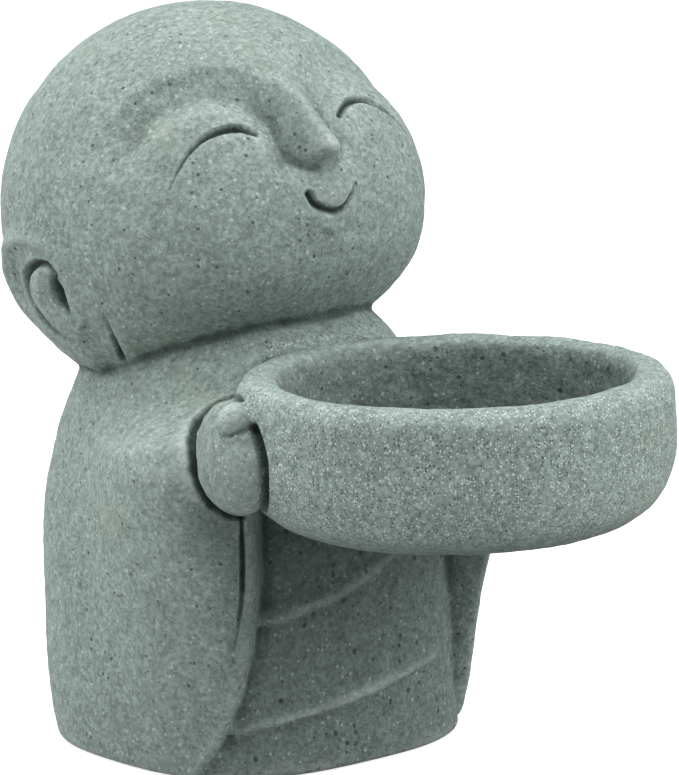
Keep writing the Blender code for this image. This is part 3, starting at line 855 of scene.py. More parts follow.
    def nose_rise(self, longitude: Array, latitude: Array) -> Array:
        """Height of the nose: a ridge (1 - v^2)^p across, growing down to its tip and ending under it."""
        run = np.clip((self.nose_top - latitude) / (self.nose_top - self.nose_tip), 0.0, 1.0)
        width = self.nose_half_width[0] + (self.nose_half_width[1] - self.nose_half_width[0]) * run
        under = smoothstep(self.nose_tip - self.nose_under, self.nose_tip, latitude)
        (high, start), (low, end) = self.nose_line
        middle = start + (end - start) * np.clip((high - latitude) / (high - low), *self.nose_line_reach)
        ridge = np.clip(1.0 - ((longitude - middle) / width) ** 2, 0.0, None) ** self.nose_roundness
        return self.nose_height * run ** self.nose_power * under * ridge

    def ears(self, longitude: Array, latitude: Array) -> Array:
        """Height of the ears over the ball, worked out only where they are."""
        away = np.abs(longitude)
        (back, front), (low, high) = self.ear_box
        near = (away > back) & (away < front) & (latitude > low) & (latitude < high)
        height = np.zeros(longitude.shape)
        height[near] = self.ear.height(away[near], latitude[near])
        return height

    def point(self, longitude: Array, latitude: Array) -> Array:
        """Place points of the head: radius times (1 + relief + ears) along their direction."""
        longitude, latitude = np.asarray(longitude, float), np.asarray(latitude, float)
        around, up = np.radians(longitude), np.radians(latitude)
        radius = self.radius * (1.0 + self.relief(longitude, latitude) + self.ears(longitude, latitude))
        local = np.stack([radius * np.cos(up) * np.sin(around), -radius * np.cos(up) * np.cos(around),
                          radius * np.sin(up)], axis=-1)
        return local @ self.turn().T + self.centre

    def shell(self) -> Shell:
        """Lay a grid over the ball, its rings closing on the nose in front and the nape behind."""
        away = np.radians(np.linspace(0.2, 179.8, self.rows))[:, None]
        around = np.radians(np.arange(self.columns) * 360.0 / self.columns)[None, :]
        across, above = np.sin(away) * np.cos(around), np.sin(away) * np.sin(around)
        longitude = np.degrees(np.arctan2(across, np.cos(away) + 0.0 * around))
        latitude = np.degrees(np.arcsin(above))
        return Shell.from_rings(self.point(longitude, latitude)[::-1])


# Carved lines


class Cut(Enum):
    """What a carved line does to the skin."""

    GROOVE = "groove"
    TRENCH = "trench"
    RIDGE = "ridge"
    LAP = "lap"


@dataclass
class CarvedLine:
    """A line carved along a path on the skin, its half width and depth running from start to end."""

    name: str
    path: Array
    cut: Cut
    half_widths: Row
    depths: Row
    lap_stretch: float = 3.5
    ragged: float = 0.0
    ragged_cell: float = 1.7 * MILLIMETRE
    ragged_seed: int = 31
    # The groove depth at which the painted shade is darkest.
    darkest_depth: float = 1.6 * MILLIMETRE

    @classmethod
    def in_mm(cls, name: str, path: Array, half_widths: Row, depths: Row, cut: Cut = Cut.GROOVE,
              ragged: float = 0.0) -> "CarvedLine":
        """Make a line whose half widths, depths and raggedness are given in millimetres."""
        return cls(name, path, cut, mm(*half_widths), mm(*depths), ragged=ragged * MILLIMETRE)
    @property
    def reach(self) -> float:
        """How far from its path the line still moves the skin."""
        return max(self.half_widths) * (self.lap_stretch if self.cut is Cut.LAP else 1.0)

    def near(self, points: Array, margin: float = 0.0) -> Array:
        """Pick out the points in the box around the path, with a margin beyond its reach."""
        low = self.path.min(axis=0) - self.reach - margin
        high = self.path.max(axis=0) + self.reach + margin
        return np.flatnonzero(((points > low) & (points < high)).all(axis=1))

    def shade(self, points: Array) -> Array:
        """Tell how much shade is painted on a groove's floor at each point: its depth's share of the
        darkest depth, at most 1.
        """
        if self.cut in (Cut.RIDGE, Cut.LAP):
            return np.zeros(len(points))
        return np.clip(-self.rise(points) / self.darkest_depth, 0.0, 1.0)

    def rise(self, points: Array) -> Array:
        """Height that the line adds at each point.

        A groove or ridge is a bell of the distance over the half width. A trench is (1 - v^4)^2,
        with steep walls. A lap of cloth is half a bell on either side of its crest, long above it
        and short beneath. Random waves let the edges of a ragged line wander.

        Args:
            points: points (n, 3) near the path.

        Returns:
            Heights in metres, shape (n,).
        """
        distance, share, feet = nearest_on_line(points, self.path)
        width, depth = run_through(self.half_widths, share), run_through(self.depths, share)
        if self.ragged:
            distance = distance + self.ragged * value_noise(points, self.ragged_cell, self.ragged_seed)
        if self.cut is Cut.TRENCH:
            return -depth * bump((distance / width) ** 2)
        if self.cut is Cut.GROOVE:
            return -depth * bump(distance / width)
        if self.cut is Cut.RIDGE:
            return depth * bump(distance / width)
        stretch = np.where((points - feet)[:, 2] > 0.0, self.lap_stretch, 1.0)
        return depth * bump(distance / (width * stretch))


@dataclass
class Carving:
    """All the carved lines of the statue, laid on its head, robe, hands and bowl.

    Places on the robe are degrees off the front and levels, which are shares of the height.
    """

    head: Head
    robe: Robe
    slit_behind: float = 3.0
    slit_levels: Pair = (0.372, 0.190)
    folds: tuple[Line, ...] = (
        ((-37.0, 0.213), (-33.0, 0.215), (-27.1, 0.223), (-11.8, 0.239), (3.3, 0.265), (22.0, 0.315)),
        ((-45.0, 0.064), (-40.0, 0.070), (-30.8, 0.079), (-10.3, 0.094), (2.5, 0.103), (26.0, 0.122)))
    cuff: Line = ((38.6, 0.479), (45.0, 0.472), (48.3, 0.459), (48.9, 0.446), (49.0, 0.421), (48.7, 0.396),
                  (47.2, 0.373), (43.0, 0.357), (40.2, 0.353))
    seam_span: Pair = (134.0, 171.0)
    seam_out: float = 0.3 * MILLIMETRE
    seam_drop: float = 1.2 * MILLIMETRE
    crease_offset: float = 0.7 * MILLIMETRE
    thumb_reach: float = 1.0 * MILLIMETRE
    walk_span: Pair = (5.0, 165.0)
    walk_steps: int = 320
    samples: int = 40

    def on_head(self, line: Line, side: float = 1.0) -> Array:
        """Lay a line of longitudes and latitudes on the head."""
        places = curve_through(line, self.samples)
        return self.head.point(side * places[:, 0], places[:, 1])

    def on_robe(self, line: Line, side: float = 1.0) -> Array:
        """Lay a line of angles off the front and levels on the robe."""
        places = curve_through(line, self.samples)
        return self.robe.point(side * places[:, 0], places[:, 1])

    def lines(self) -> list[CarvedLine]:
        """Lay out every line: the face's, those of either side, and the folds of the panel."""
        made = self.face_lines()
        for side, name in ((-1.0, "right"), (1.0, "left")):
            made += self.side_lines(side, name)
        for number, fold in enumerate(self.folds, start=1):
            made.append(CarvedLine.in_mm(f"fold_{number}", self.on_robe(fold), (1.1, 1.2, 0.9),
                                         (0.9, 1.1, 0.7), Cut.LAP))
        return made

    def face_lines(self) -> list[CarvedLine]:
        """Lay out the mouth, the lower lip and the crease under the nose."""
        head = self.head
        return [CarvedLine.in_mm("mouth", self.on_head(head.mouth_line),
                                 (1.2, 1.35, 1.3, 1.1, 0.6), (1.5, 1.8, 1.7, 1.4, 0.6)),
                CarvedLine.in_mm("lip", self.on_head(head.lip_line),
                                 (1.0, 1.7, 1.0), (0.1, 0.5, 0.1), Cut.RIDGE),
                CarvedLine.in_mm("nose_crease", self.on_head(head.nose_crease),
                                 (0.9, 1.5, 1.5, 1.0), (0.2, 0.6, 0.8, 0.2))]

    def side_lines(self, side: float, name: str) -> list[CarvedLine]:
        """Lay out a side's eye, ear, sleeve, hand and thumb, and the bowl's seam with the chest."""
        head, ear, line = self.head, self.head.ear, CarvedLine.in_mm
        levels = np.linspace(*self.slit_levels, self.samples)
        slit = self.robe.point(side * (self.robe.edge(levels) + self.slit_behind), levels)
        return [line(name + "_eye", self.on_head(head.eye_line, side),
                     (0.5, 0.8, 1.05, 1.2, 1.15), (0.4, 1.0, 1.4, 1.7, 1.6)),
                line(name + "_ear_groove", self.on_head(ear.groove, side),
                     ear.groove_half_widths, ear.groove_depths),
                line(name + "_ear_hollow", self.on_head(ear.hollow, side),
                     ear.hollow_half_widths, ear.hollow_depths),
                line(name + "_ear_crease", self.on_head(ear.crease, side),
                     ear.crease_half_widths, ear.crease_depths),
                line(name + "_slit", slit, (0.60, 0.55, 0.4), (1.5, 1.2, 0.3)),
                line(name + "_cuff", self.on_robe(self.cuff, side), (0.9, 1.2, 1.3, 1.3, 1.2, 0.8),
                     (1.0, 1.7, 2.1, 2.2, 2.0, 1.2), Cut.TRENCH, ragged=0.26),
                line(name + "_hand_on_bowl", self.hand_on_bowl(side),
                     (0.7, 1.2, 1.3, 1.2, 0.6), (0.5, 1.5, 1.7, 1.4, 0.3)),
                line(name + "_thumb", self.round_thumb(side), (0.5, 0.6, 0.6), (0.3, 0.5, 0.5)),
                line(name + "_seam", self.seam(side), (1.9, 1.7, 1.2), (1.7, 1.4, 0.2))]

    def hand_on_bowl(self, side: float) -> Array:
        """Find the crease between a hand and the bowl.

        The hand's egg is walked from its outermost place in every direction, until it first
        enters the robe or the bowl. The places where it meets the bowl first are kept.

        Args:
            side: -1 for the right hand and 1 for the left.

        Returns:
            The crease as points in metres.
        """
        hands, bowl = self.robe.hands, self.robe.hands.bowl
        sizes = np.array(hands.half_sizes) + self.crease_offset / hands.height
        places = hands.egg_points(side, hands.centre(side), self.walk(4 * self.samples), sizes)
        to_robe = self.robe.gap(places)
        to_bowl = bowl.away(places) - bowl.outer_radius(places[..., 2])
        first = (np.minimum(to_robe, to_bowl) < 0.0).argmax(axis=1)
        rows = np.arange(len(first))
        loop = places[rows, first]
        on_robe = to_robe[rows, first] < to_bowl[rows, first]
        start = int(np.flatnonzero(on_robe & ~np.roll(on_robe, 1))[0])
        loop, on_robe = np.roll(loop, -start, axis=0), np.roll(on_robe, -start)
        return loop[~on_robe]

    def walk(self, count: int) -> Array:
        """Directions that leave the outermost one every way, in even steps round and away."""
        away = np.radians(np.linspace(*self.walk_span, self.walk_steps))[None, :]
        around = np.radians(np.linspace(0.0, 360.0, count, endpoint=False))[:, None]
        return np.stack([np.cos(away) + 0.0 * around, np.sin(away) * np.sin(around),
                         np.sin(away) * np.cos(around)], axis=-1)

    def round_thumb(self, side: float) -> Array:
        """Find the crease where a thumb meets its hand: walk down the thumb until it enters the hand."""
        hands = self.robe.hands
        centre = hands.centre(side) + hands.turned(side, np.array(hands.thumb_place) * hands.height)
        walk = self.walk(2 * self.samples)
        walk = np.stack([walk[..., 1], -walk[..., 0], walk[..., 2]], axis=-1)
        places = hands.egg_points(side, centre, walk, hands.thumb_sizes, 0.0)
        entered = hands.gap(side, places) < 0.0
        first = entered.argmax(axis=1)
        loop = places[np.arange(len(first)), first]
        return loop[entered.any(axis=1) & (first > 0) & (loop[:, 2] < centre[2] + self.thumb_reach)]

    def seam(self, side: float) -> Array:
        """Follow the bowl's rim where it meets the chest."""
        bowl = self.robe.hands.bowl
        around = side * np.radians(np.linspace(*self.seam_span, self.samples))
        radius = bowl.radius + self.seam_out
        return np.stack([radius * np.sin(around), bowl.centre_y - radius * np.cos(around),
                         np.full(self.samples, bowl.rim_z - self.seam_drop)], axis=-1)


# The casting


@dataclass
class Casting:
    """The whole statue as one skin: its forms fused, softened, carved, roughened and thinned.

    Waves have their length and height in millimetres. Each kind of hollow has its rounds of
    averaging, and the depth in millimetres at which it counts in full.
    """

    head: Head
    robe: Robe
    bowl: Bowl
    hands: Hands
    voxel: float = 0.60 * MILLIMETRE
    soften_steps: int = 5
    line_margin: float = 0.6 * MILLIMETRE
    triangles: int = 192_000
    waves: Line = ((16.0, 0.22), (9.0, 0.18), (3.6, 0.12), (1.8, 0.08))
    bowl_inside_waves: Line = ((7.0, 0.32), (3.4, 0.26), (1.8, 0.16))
    base_margin: float = 2.0 * MILLIMETRE
    # The fine and broad hollows set where shade is painted into the stone's colour.
    hollows: Table = (("crevice", 6, 0.5), ("hollow", 40, 2.2))
    even_rounds: int = 3
    face_margin: float = 1.5 * MILLIMETRE
    hand_coarseness: float = 0.6

    def build(self) -> bpy.types.Object:
        """Make the statue's object."""
        forms = [self.robe.shell(), self.head.shell(), self.bowl.shell(), *self.hands.shells()]
        statue = add_object("statue", join_shells(forms).to_mesh("statue"))
        self.fuse(statue)
        lines = Carving(self.head, self.robe).lines()
        self.refine(statue.data, lines)
        self.note_shade(statue.data, lines)
        self.carve(statue.data, lines)
        self.roughen(statue.data)
        self.thin(statue)
        self.note_crevices(statue.data)
        self.note_places(statue.data)
        statue.data.shade_smooth()
        log.info("statue: %d points, %d triangles", len(statue.data.vertices), len(statue.data.polygons))
        return statue

    def apply_modifiers(self, statue: bpy.types.Object) -> None:
        """Replace the mesh by what its modifiers make of it."""
        graph = bpy.context.evaluated_depsgraph_get()
        made = bpy.data.meshes.new_from_object(statue.evaluated_get(graph), depsgraph=graph)
        statue.modifiers.clear()
        old = statue.data
        statue.data = made
        bpy.data.meshes.remove(old)

    def fuse(self, statue: bpy.types.Object) -> None:
        """Fuse the overlapping forms into one skin, and soften its creases."""
        fused = statue.modifiers.new("fuse", "REMESH")
        fused.mode = "VOXEL"
        fused.voxel_size = self.voxel
        soft = statue.modifiers.new("soften", "SMOOTH")
        soft.factor = 0.5
        soft.iterations = self.soften_steps
        self.apply_modifiers(statue)
        log.info("fused: %d faces", len(statue.data.polygons))

    def refine(self, mesh: bpy.types.Mesh, lines: list[CarvedLine]) -> None:
        """Halve the faces along the finer carved lines, so that their edges come out clean."""
        points = read_points(mesh)
        close = np.zeros(len(points), bool)
        for line in lines:
            if line.cut is Cut.LAP:
                continue
            some = line.near(points, self.line_margin)
            distance, _, _ = nearest_on_line(points[some], line.path)
            close[some[distance < line.reach + self.line_margin]] = True
        form = bmesh.new()
        form.from_mesh(mesh)
        form.edges.ensure_lookup_table()
        edges = [form.edges[index] for index in np.flatnonzero(close[read_edges(mesh)].all(axis=1))]
        bmesh.ops.subdivide_edges(form, edges=edges, cuts=1, use_grid_fill=True)
        bmesh.ops.triangulate(form, faces=[face for face in form.faces if len(face.verts) > 4])
        form.to_mesh(mesh)
        form.free()

    def note_shade(self, mesh: bpy.types.Mesh, lines: list[CarvedLine]) -> None:
        """Write how deep in a groove each point will be, 0 to 1, as an attribute that thinning keeps, by
        which shade is painted in the grooves.
        """
        points = read_points(mesh)
        shade = np.zeros(len(points))
        for line in lines:
            some = line.near(points)
            shade[some] = np.maximum(shade[some], line.shade(points[some]))
        write_values(mesh, "shade", shade)

    def carve(self, mesh: bpy.types.Mesh, lines: list[CarvedLine]) -> None:
        """Cut every line into the skin, along its normals."""
        points, normals = read_points(mesh), read_normals(mesh)
        moved = np.zeros(len(points))
        for line in lines:
            some = line.near(points)
            moved[some] += line.rise(points[some])
        write_points(mesh, points + normals * moved[:, None])

    def roughen(self, mesh: bpy.types.Mesh) -> None:
        """Give the skin the uneven surface of cast stone, coarser in the bowl, and a flat underside.

        The height is a sum of random waves. It fades out at the underside, which stays flat.
        """
        points, normals = read_points(mesh), read_normals(mesh)
        plain = sum(size * value_noise(points, cell * MILLIMETRE, seed)
                    for seed, (cell, size) in enumerate(self.waves, start=1))
        coarse = sum(size * value_noise(points, cell * MILLIMETRE, seed)
                     for seed, (cell, size) in enumerate(self.bowl_inside_waves, start=11))
        inside = self.bowl.inside(points)
        height = (plain * (1.0 - inside) + coarse * inside) * MILLIMETRE
        height *= smoothstep(0.0, self.base_margin, points[:, 2])
        points = points + normals * height[:, None]
        points[:, 2] = np.maximum(points[:, 2], 0.0)
        write_points(mesh, points)

    def thin(self, statue: bpy.types.Object) -> None:
        """Thin the mesh where it is plain, down to its number of triangles."""
        count = sum(len(face.vertices) - 2 for face in statue.data.polygons)
        fewer = statue.modifiers.new("thin", "DECIMATE")
        fewer.ratio = min(1.0, self.triangles / count)
        fewer.use_collapse_triangulate = True
        self.apply_modifiers(statue)

    def note_crevices(self, mesh: bpy.types.Mesh) -> None:
        """Write how hollow the skin is at each point, as attributes at a fine and a broad scale, by which
        the finish paints shade into the colour of its creases and hollows.

        A point's hollow is how far the mean of its neighbours stands out from it along its
        normal, after a few rounds of averaging for the fine scale and many for the broad one.
        """
        points, normals = read_points(mesh), read_normals(mesh)
        start, stop = read_edges(mesh).T
        near, far = np.concatenate([start, stop]), np.concatenate([stop, start])
        count = np.bincount(near, minlength=len(points))

        def spread(values: Array) -> Array:
            return np.bincount(near, values[far], len(points)) / count

        smooth = points.T
        for name, rounds, depth in self.hollows:
            for _ in range(rounds):
                smooth = np.stack([spread(axis) for axis in smooth])
            hollow = ((smooth.T - points) * normals).sum(axis=1)
            for _ in range(self.even_rounds):
                hollow = 0.5 * (hollow + spread(hollow))
            write_values(mesh, name, np.clip(hollow / (depth * MILLIMETRE), -1.0, 1.0))

    def note_places(self, mesh: bpy.types.Mesh) -> None:
        """Write which points are on the fine bowl, on the coarser faces, which also take painted shade, and
        under the bowl and hands, where shadow is painted, as attributes.
        """
        points = read_points(mesh)
        write_values(mesh, "fine_face", self.bowl.nearness(points))
        write_values(mesh, "shelter", np.maximum(self.bowl.shelter(points), self.hands.shelter(points)))
        on_hands = 1.0 - smoothstep(0.0, self.face_margin, self.hands.nearest(points))
        # The coarse faces take painted shade in the finish: the bowl's inside, the panel and, in part, the
        # hands.
        write_values(mesh, "coarse_face", np.maximum.reduce([
            self.bowl.inside(points), self.on_panel(points), self.hand_coarseness * on_hands]))

    def on_panel(self, points: Array) -> Array:
        """Tell which points are on the robe's front panel: 1 there and 0 elsewhere."""
        angle, level = self.robe.place(points)
        return (self.robe.panel(np.abs(angle), level)
                * (1.0 - smoothstep(0.0, self.face_margin, self.robe.gap(points))))


def add_object(name: str, data: bpy.types.ID) -> bpy.types.Object:
    """Put data into the scene as a new object of that name."""
    made = bpy.data.objects.new(name, data)
    bpy.context.scene.collection.objects.link(made)
    return made


def read_vectors(items: bpy.types.bpy_prop_collection, key: str) -> Array:
    """Read a vector of each of a mesh's items as an array (n, 3)."""
    flat = np.zeros(len(items) * 3, np.float32)
    items.foreach_get(key, flat)
    return flat.reshape(-1, 3).astype(float)


def read_points(mesh: bpy.types.Mesh) -> Array:
    """Read a mesh's points as an array (n, 3)."""
    return read_vectors(mesh.vertices, "co")


def read_normals(mesh: bpy.types.Mesh) -> Array:
    """Read a mesh's outward normals at its points as an array (n, 3)."""
    return read_vectors(mesh.vertex_normals, "vector")


def read_edges(mesh: bpy.types.Mesh) -> Array:
    """Read the numbers of the two points that each edge of a mesh joins, as an array (n, 2)."""
    ends = np.zeros(len(mesh.edges) * 2, np.int32)
    mesh.edges.foreach_get("vertices", ends)
    return ends.reshape(-1, 2)


def write_values(mesh: bpy.types.Mesh, name: str, values: Array) -> None:
    """Write one number for each of a mesh's points as an attribute of that name."""
    attribute = mesh.attributes.new(name, "FLOAT", "POINT")
    attribute.data.foreach_set("value", values.astype(np.float32))


def write_points(mesh: bpy.types.Mesh, points: Array) -> None:
    """Move a mesh's points to an array (n, 3) of places."""
    mesh.vertices.foreach_set("co", points.astype(np.float32).ravel())
    mesh.update()


# Finishes


class Board:
    """A node tree being wired, with short ways to add nodes and join them."""

    def __init__(self, tree: bpy.types.NodeTree) -> None:
        """Start with an empty tree."""
        self.tree = tree
        tree.nodes.clear()

    def add(self, kind: str, inputs: dict | None = None, **settings: object) -> bpy.types.Node:
        """Add a node.

        Args:
            kind: the node's type, such as "ShaderNodeMath".
            inputs: values or output sockets for its inputs, by name or number.
            settings: the node's own settings, such as operation="ADD".

        Returns:
            The node.
        """
        node = self.tree.nodes.new(kind)
        for name, value in settings.items():
            setattr(node, name, value)
        for name, value in (inputs or {}).items():
            if isinstance(value, Socket):
                self.tree.links.new(value, node.inputs[name])
            else:
                node.inputs[name].default_value = value
        return node

    def math(self, operation: str, first: object, second: object = 0.0) -> Socket:
        """Work out one sum of two values or sockets."""
        return self.add("ShaderNodeMath", {0: first, 1: second}, operation=operation).outputs[0]

    def ramp(self, value: object, low: float, high: float, to_low: float = 0.0,
             to_high: float = 1.0) -> Socket:
        """Map a value smoothly from one range to another, held at its ends."""
        return self.add("ShaderNodeMapRange", {"Value": value, "From Min": low, "From Max": high,
                                               "To Min": to_low, "To Max": to_high},
                        interpolation_type="SMOOTHSTEP").outputs["Result"]

    def times(self, first: object, second: object) -> Socket:
        """Multiply two values or sockets."""
        return self.math("MULTIPLY", first, second)

    def blend(self, share: object, first: object, second: object) -> Socket:
        """Blend two colours by a share."""
        return self.add("ShaderNodeMix", {0: share, 6: first, 7: second}, data_type="RGBA").outputs[2]

    def surface(self, inputs: dict) -> None:
        """End a material with its surface."""
        shader = self.add("ShaderNodeBsdfPrincipled", inputs)
        self.add("ShaderNodeOutputMaterial", {"Surface": shader.outputs["BSDF"]})


def new_material(name: str) -> tuple[bpy.types.Material, Board]:
    """Make a material of that name, and an empty board to wire it on."""
    material = bpy.data.materials.new(name)
    material.use_nodes = True
    return material, Board(material.node_tree)


def specks_group() -> bpy.types.NodeTree:
    """Build the group that scatters round specks: a share of the cells of a pattern each hold one."""
    smallest, solid = 0.55, 0.55
    tree = bpy.data.node_groups.new("stone_specks", "ShaderNodeTree")
    for name, kind in (("Vector", "NodeSocketVector"), ("Scale", "NodeSocketFloat"),
                       ("Share", "NodeSocketFloat"), ("Size", "NodeSocketFloat")):
        tree.interface.new_socket(name, in_out="INPUT", socket_type=kind)
    tree.interface.new_socket("Mask", in_out="OUTPUT", socket_type="NodeSocketFloat")
    board = Board(tree)
    given = board.add("NodeGroupInput").outputs
    cells = board.add("ShaderNodeTexVoronoi", {"Vector": given["Vector"], "Scale": given["Scale"]})
    chance = board.add("ShaderNodeSeparateColor", {"Color": cells.outputs["Color"]})
    held = board.math("LESS_THAN", chance.outputs["Red"], given["Share"])
    size = board.times(given["Size"], board.ramp(chance.outputs["Green"], 0.0, 1.0, smallest, 1.0))
    near = board.add("ShaderNodeMapRange", {"Value": cells.outputs["Distance"],
                                            "From Min": board.times(size, solid), "From Max": size,
                                            "To Min": 1.0, "To Max": 0.0})
    board.add("NodeGroupOutput", {"Mask": board.times(held, near.outputs["Result"])})
    return tree


@dataclass(frozen=True)
class CastStone:
    """Grey-green cast stone: speckled light and dark and finely pitted, with shade painted into its
    creases, hollows, grooves and coarse faces, and shadow painted under the bowl and hands.

    A noise has its scale in cells to a metre, its detail and its roughness. Specks have their scale,
    the share of cells that hold one, and their size in cells. A tone takes a pattern's range to
    another, and the stone's colour is multiplied by every tone.
    """

    name: str = "cast_stone"
    colour: Colour = (0.208, 0.262, 0.240, 1.0)
    light: Colour = (0.56, 0.61, 0.58, 1.0)
    dark: Colour = (0.045, 0.070, 0.064, 1.0)
    stain: Colour = (0.25, 0.275, 0.185, 1.0)
    # The colour of the pits and of the painted shade in creases, hollows and grooves, and of the painted
    # shadow under the bowl and hands.
    crevice: Colour = (0.020, 0.032, 0.030, 1.0)
    roughness: float = 0.93
    specular: float = 0.22
    grain_depth: float = 0.22 * MILLIMETRE
    grain_strength: float = 0.65
    marks: tuple[str, ...] = ("crevice", "hollow", "shade", "shelter", "fine_face", "coarse_face")
    noises: Table = (("broad", 38.0, 3.0, 0.5), ("mottle", 420.0, 3.0, 0.6), ("grain", 1050.0, 2.0, 0.6),
                     ("fine_grain", 3000.0, 2.0, 0.7), ("stains", 24.0, 4.0, 0.6))
    specks: Table = (("light_specks", 900.0, 0.20, 0.42), ("small_light", 2200.0, 0.36, 0.50),
                     ("dark_specks", 1050.0, 0.22, 0.40), ("small_dark", 1900.0, 0.38, 0.50),
                     ("pits", 620.0, 0.17, 0.30), ("streaks", 420.0, 0.20, 0.30))
    tones: Table = (("mottle", 0.30, 0.70, 0.86, 1.14), ("broad", 0.30, 0.70, 0.95, 1.05),
                    ("grain", 0.28, 0.72, 0.76, 1.24), ("fine_grain", 0.25, 0.75, 0.86, 1.14),
                    # The coarse faces, the panel under the bowl and the bowl's inside, and the hands in
                    # part, are darkened as painted shade.
                    ("coarse_face", 0.0, 1.0, 1.0, 0.72))

    def build(self) -> bpy.types.Material:
        """Wire the finish."""
        material, board = new_material(self.name)
        stone = self.patterns(board)
        bump_node = board.add("ShaderNodeBump", {"Height": self.relief(board, stone),
                                                 "Strength": self.grain_strength,
                                                 "Distance": self.grain_depth})
        board.surface({"Base Color": self.tint(board, stone), "Normal": bump_node.outputs["Normal"],
                       "Roughness": self.roughness, "Specular IOR Level": self.specular})
        return material

    def patterns(self, board: Board) -> dict[str, Socket]:
        """Add the mesh's marks, the noises and the specks, by name. Pits are few on the fine face."""
        place = board.add("ShaderNodeTexCoord").outputs["Object"]
        group = specks_group()
        stone = {mark: board.add("ShaderNodeAttribute", attribute_name=mark).outputs["Fac"]
                 for mark in self.marks}
        for name, scale, detail, rough in self.noises:
            node = board.add("ShaderNodeTexNoise", {"Vector": place, "Scale": scale, "Detail": detail,
                                                    "Roughness": rough})
            stone[name] = node.outputs["Fac"]
        for name, scale, share, size in self.specks:
            node = board.add("ShaderNodeGroup", {"Vector": place, "Scale": scale, "Share": share,
                                                 "Size": size}, node_tree=group)
            stone[name] = node.outputs["Mask"]
        pits = board.times(stone["pits"], board.ramp(stone["fine_face"], 0.0, 1.0, 1.0, 0.3))
        stone["pits"] = board.math("MAXIMUM", pits, board.times(stone["streaks"], stone["coarse_face"]))
        return stone

    def tint(self, board: Board, stone: dict[str, Socket]) -> Socket:
        """Tone the stone's colour, then lay stains, specks, pits, lighter raised edges, and painted shade
        and shadow over it in turn.
        """
        tone: Socket | float = 1.0
        for name, *spans in self.tones:
            tone = board.times(tone, board.ramp(stone[name], *spans))
        colour = board.add("ShaderNodeVectorMath", {0: self.colour[:3], "Scale": tone},
                           operation="SCALE").outputs["Vector"]
        fine, edges = stone["fine_face"], board.times(stone["crevice"], -1.0)
        layers = ((board.ramp(stone["stains"], 0.58, 0.78, 0.0, 0.45), self.stain),
                  (board.times(stone["dark_specks"], 0.45), self.dark),
                  (board.times(stone["small_dark"], board.ramp(fine, 0.0, 1.0, 0.10, 1.0)), self.dark),
                  (board.times(stone["light_specks"], 0.42), self.light),
                  (board.times(stone["small_light"], board.ramp(fine, 0.0, 1.0, 0.14, 1.0)), self.light),
                  (board.times(stone["pits"], 0.70), self.crevice),
                  # Lighter on raised edges, where the fine hollow is below zero.
                  (board.ramp(edges, 0.15, 0.80, 0.0, 0.30), self.light),
                  # Painted shade in the fine creases.
                  (board.ramp(stone["crevice"], 0.10, 0.90, 0.0, 0.62), self.crevice),
                  # Painted shade in the broad hollows: the crease under the head, under the bowl and hands,
                  # and the panel.
                  (board.ramp(stone["hollow"], 0.04, 0.60, 0.0, 0.74), self.crevice),
                  # Painted shadow under the bowl and the hands.
                  (board.times(stone["shelter"], 0.55), self.crevice),
                  # Painted shade on the floors of the carved grooves.
                  (board.ramp(stone["shade"], 0.10, 1.00, 0.0, 0.82), self.crevice))
        for share, layer in layers:
            colour = board.blend(share, colour, layer)
        return colour

    def relief(self, board: Board, stone: dict[str, Socket]) -> Socket:
        """Add up the fine relief: grain and mottling, less the pits and the dark specks."""
        depths = {"grain": 1.4, "fine_grain": board.ramp(stone["fine_face"], 0.0, 1.0, 0.30, 0.60),
                  "mottle": board.ramp(stone["coarse_face"], 0.0, 1.0, 1.2, 3.2),
                  "pits": -1.6, "dark_specks": -0.35}
        height: Socket | float = 0.0
        for name, depth in depths.items():
            height = board.math("ADD", height, board.times(stone[name], depth))
        return height


@dataclass(frozen=True)
class PaleFloor:
    """Plain pale matte floor."""

    name: str = "pale_floor"
    colour: Colour = (0.50, 0.50, 0.50, 1.0)
    light: Colour = (1.0, 1.0, 1.0, 1.0)
    roughness: float = 0.9
    glow: float = 0.80

    def build(self) -> bpy.types.Material:
        """Wire the finish. To the camera alone it glows, as a sweep lit from behind does."""
        material, board = new_material(self.name)
        seen = board.add("ShaderNodeLightPath").outputs["Is Camera Ray"]
        board.surface({"Base Color": self.colour, "Roughness": self.roughness, "Emission Color": self.light,
                       "Emission Strength": board.times(seen, self.glow)})
        return material


# Studio


@dataclass(frozen=True)
class Lamp:
    """A square soft light: its name, its place, the length of its side in metres, and its watts."""

    name: str
    place: Triple
    size: float
    power: float

    def hang(self, target: Vector) -> None:
        """Hang the light so that it looks at the target."""
        data = bpy.data.lights.new(self.name, "AREA")
        data.shape = "SQUARE"
        data.size = self.size
        data.energy = self.power
        lamp = add_object(self.name, data)
        lamp.location = self.place
        lamp.rotation_euler = (target - Vector(self.place)).to_track_quat("-Z", "Y").to_euler()


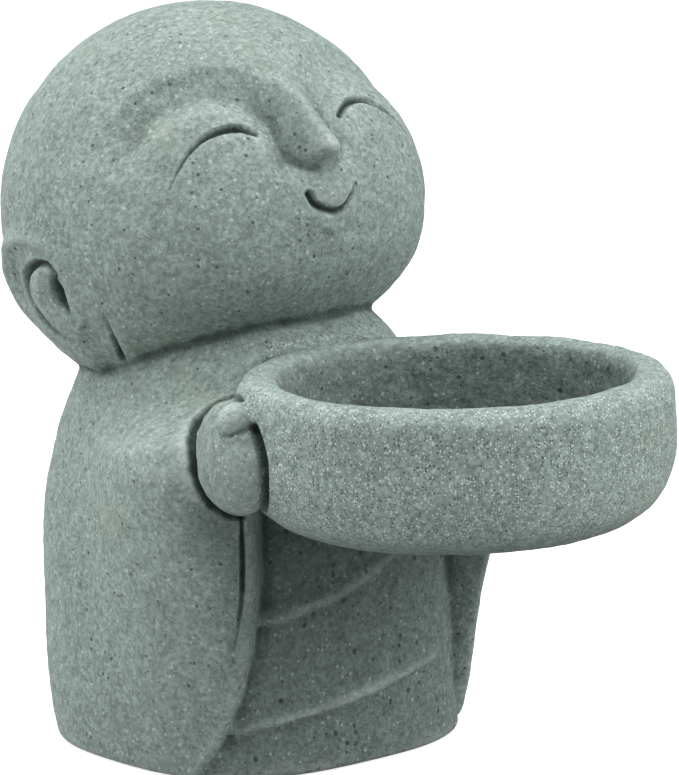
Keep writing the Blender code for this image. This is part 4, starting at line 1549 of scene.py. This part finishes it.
@dataclass(frozen=True)
class Studio:
    """A pale floor, soft lights above and around, and the camera at the photograph's angle."""

    lamps: tuple[Lamp, ...] = (
        Lamp("above", (-0.10, 0.10, 1.30), 1.50, 24.0),
        Lamp("above_front", (-0.30, -0.90, 1.10), 1.20, 6.4),
        Lamp("left", (-1.10, 0.30, 0.50), 0.90, 5.2),
        Lamp("left_behind", (-0.45, 1.05, 0.50), 0.90, 9.8),
        Lamp("right_front", (0.80, -0.95, 0.60), 0.90, 15.0))
    azimuth: float = -39.301
    elevation: float = 11.107
    roll: float = -1.435
    distance: float = 1.1
    target: Triple = (0.00707, -0.020, 0.073586)
    focal_pixels: float = 5448.3
    picture_height: float = 775.0
    sensor: float = 36.0
    far_clip: float = 50.0
    floor_size: float = 30.0
    floor_drop: float = 0.1 * MILLIMETRE
    world_strength: float = 0.05

    def build(self) -> None:
        """Set up the floor, the lights, the surroundings and the camera."""
        self.floor()
        for lamp in self.lamps:
            lamp.hang(Vector(self.target))
        self.surroundings()
        self.camera()

    def axes(self) -> tuple[Vector, Vector, Vector]:
        """Right, up and backward directions of the camera, in the statue's frame."""
        a, e, r = (math.radians(angle) for angle in (self.azimuth, self.elevation, self.roll))
        back = Vector((math.sin(a) * math.cos(e), -math.cos(a) * math.cos(e), math.sin(e)))
        right = Vector((math.cos(a), math.sin(a), 0.0))
        up = back.cross(right)
        return (right * math.cos(r) + up * math.sin(r), up * math.cos(r) - right * math.sin(r), back)

    def camera(self) -> None:
        """Place the camera, its lens from the focal length in pixels of the picture."""
        right, up, back = self.axes()
        data = bpy.data.cameras.new("camera")
        data.sensor_fit = "VERTICAL"
        data.sensor_height = self.sensor
        data.lens = self.focal_pixels * self.sensor / self.picture_height
        data.clip_end = self.far_clip
        camera = add_object("camera", data)
        turned = Matrix((right, up, back)).transposed().to_4x4()
        camera.matrix_world = Matrix.Translation(Vector(self.target) + back * self.distance) @ turned
        bpy.context.scene.camera = camera

    def surroundings(self) -> None:
        """Surround the set with even white light."""
        world = bpy.data.worlds.new("studio")
        world.use_nodes = True
        glow = world.node_tree.nodes["Background"]
        glow.inputs["Color"].default_value = (1.0, 1.0, 1.0, 1.0)
        glow.inputs["Strength"].default_value = self.world_strength
        bpy.context.scene.world = world

    def floor(self) -> None:
        """Lay the floor just under the statue."""
        half = 0.5 * self.floor_size
        mesh = bpy.data.meshes.new("floor")
        mesh.from_pydata([(-half, -half, 0.0), (half, -half, 0.0), (half, half, 0.0), (-half, half, 0.0)],
                         [], [(0, 1, 2, 3)])
        mesh.materials.append(PaleFloor().build())
        floor = add_object("floor", mesh)
        floor.location.z = -self.floor_drop


def main() -> None:
    """Build the statue and its studio."""
    logging.basicConfig(level=logging.INFO, format="%(name)s: %(message)s")
    _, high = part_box(NODE)
    bowl = Bowl.from_frame(frame["record"])
    hands = Hands(bowl, high.z)
    statue = Casting(Head(high.z), Robe(high.z, hands), bowl, hands).build()
    statue.data.materials.append(CastStone().build())
    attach(statue, BODY)
    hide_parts(NODE)
    Studio().build()
    bpy.context.scene.view_settings.view_transform = "Standard"


if __name__ == "__main__":
    main()
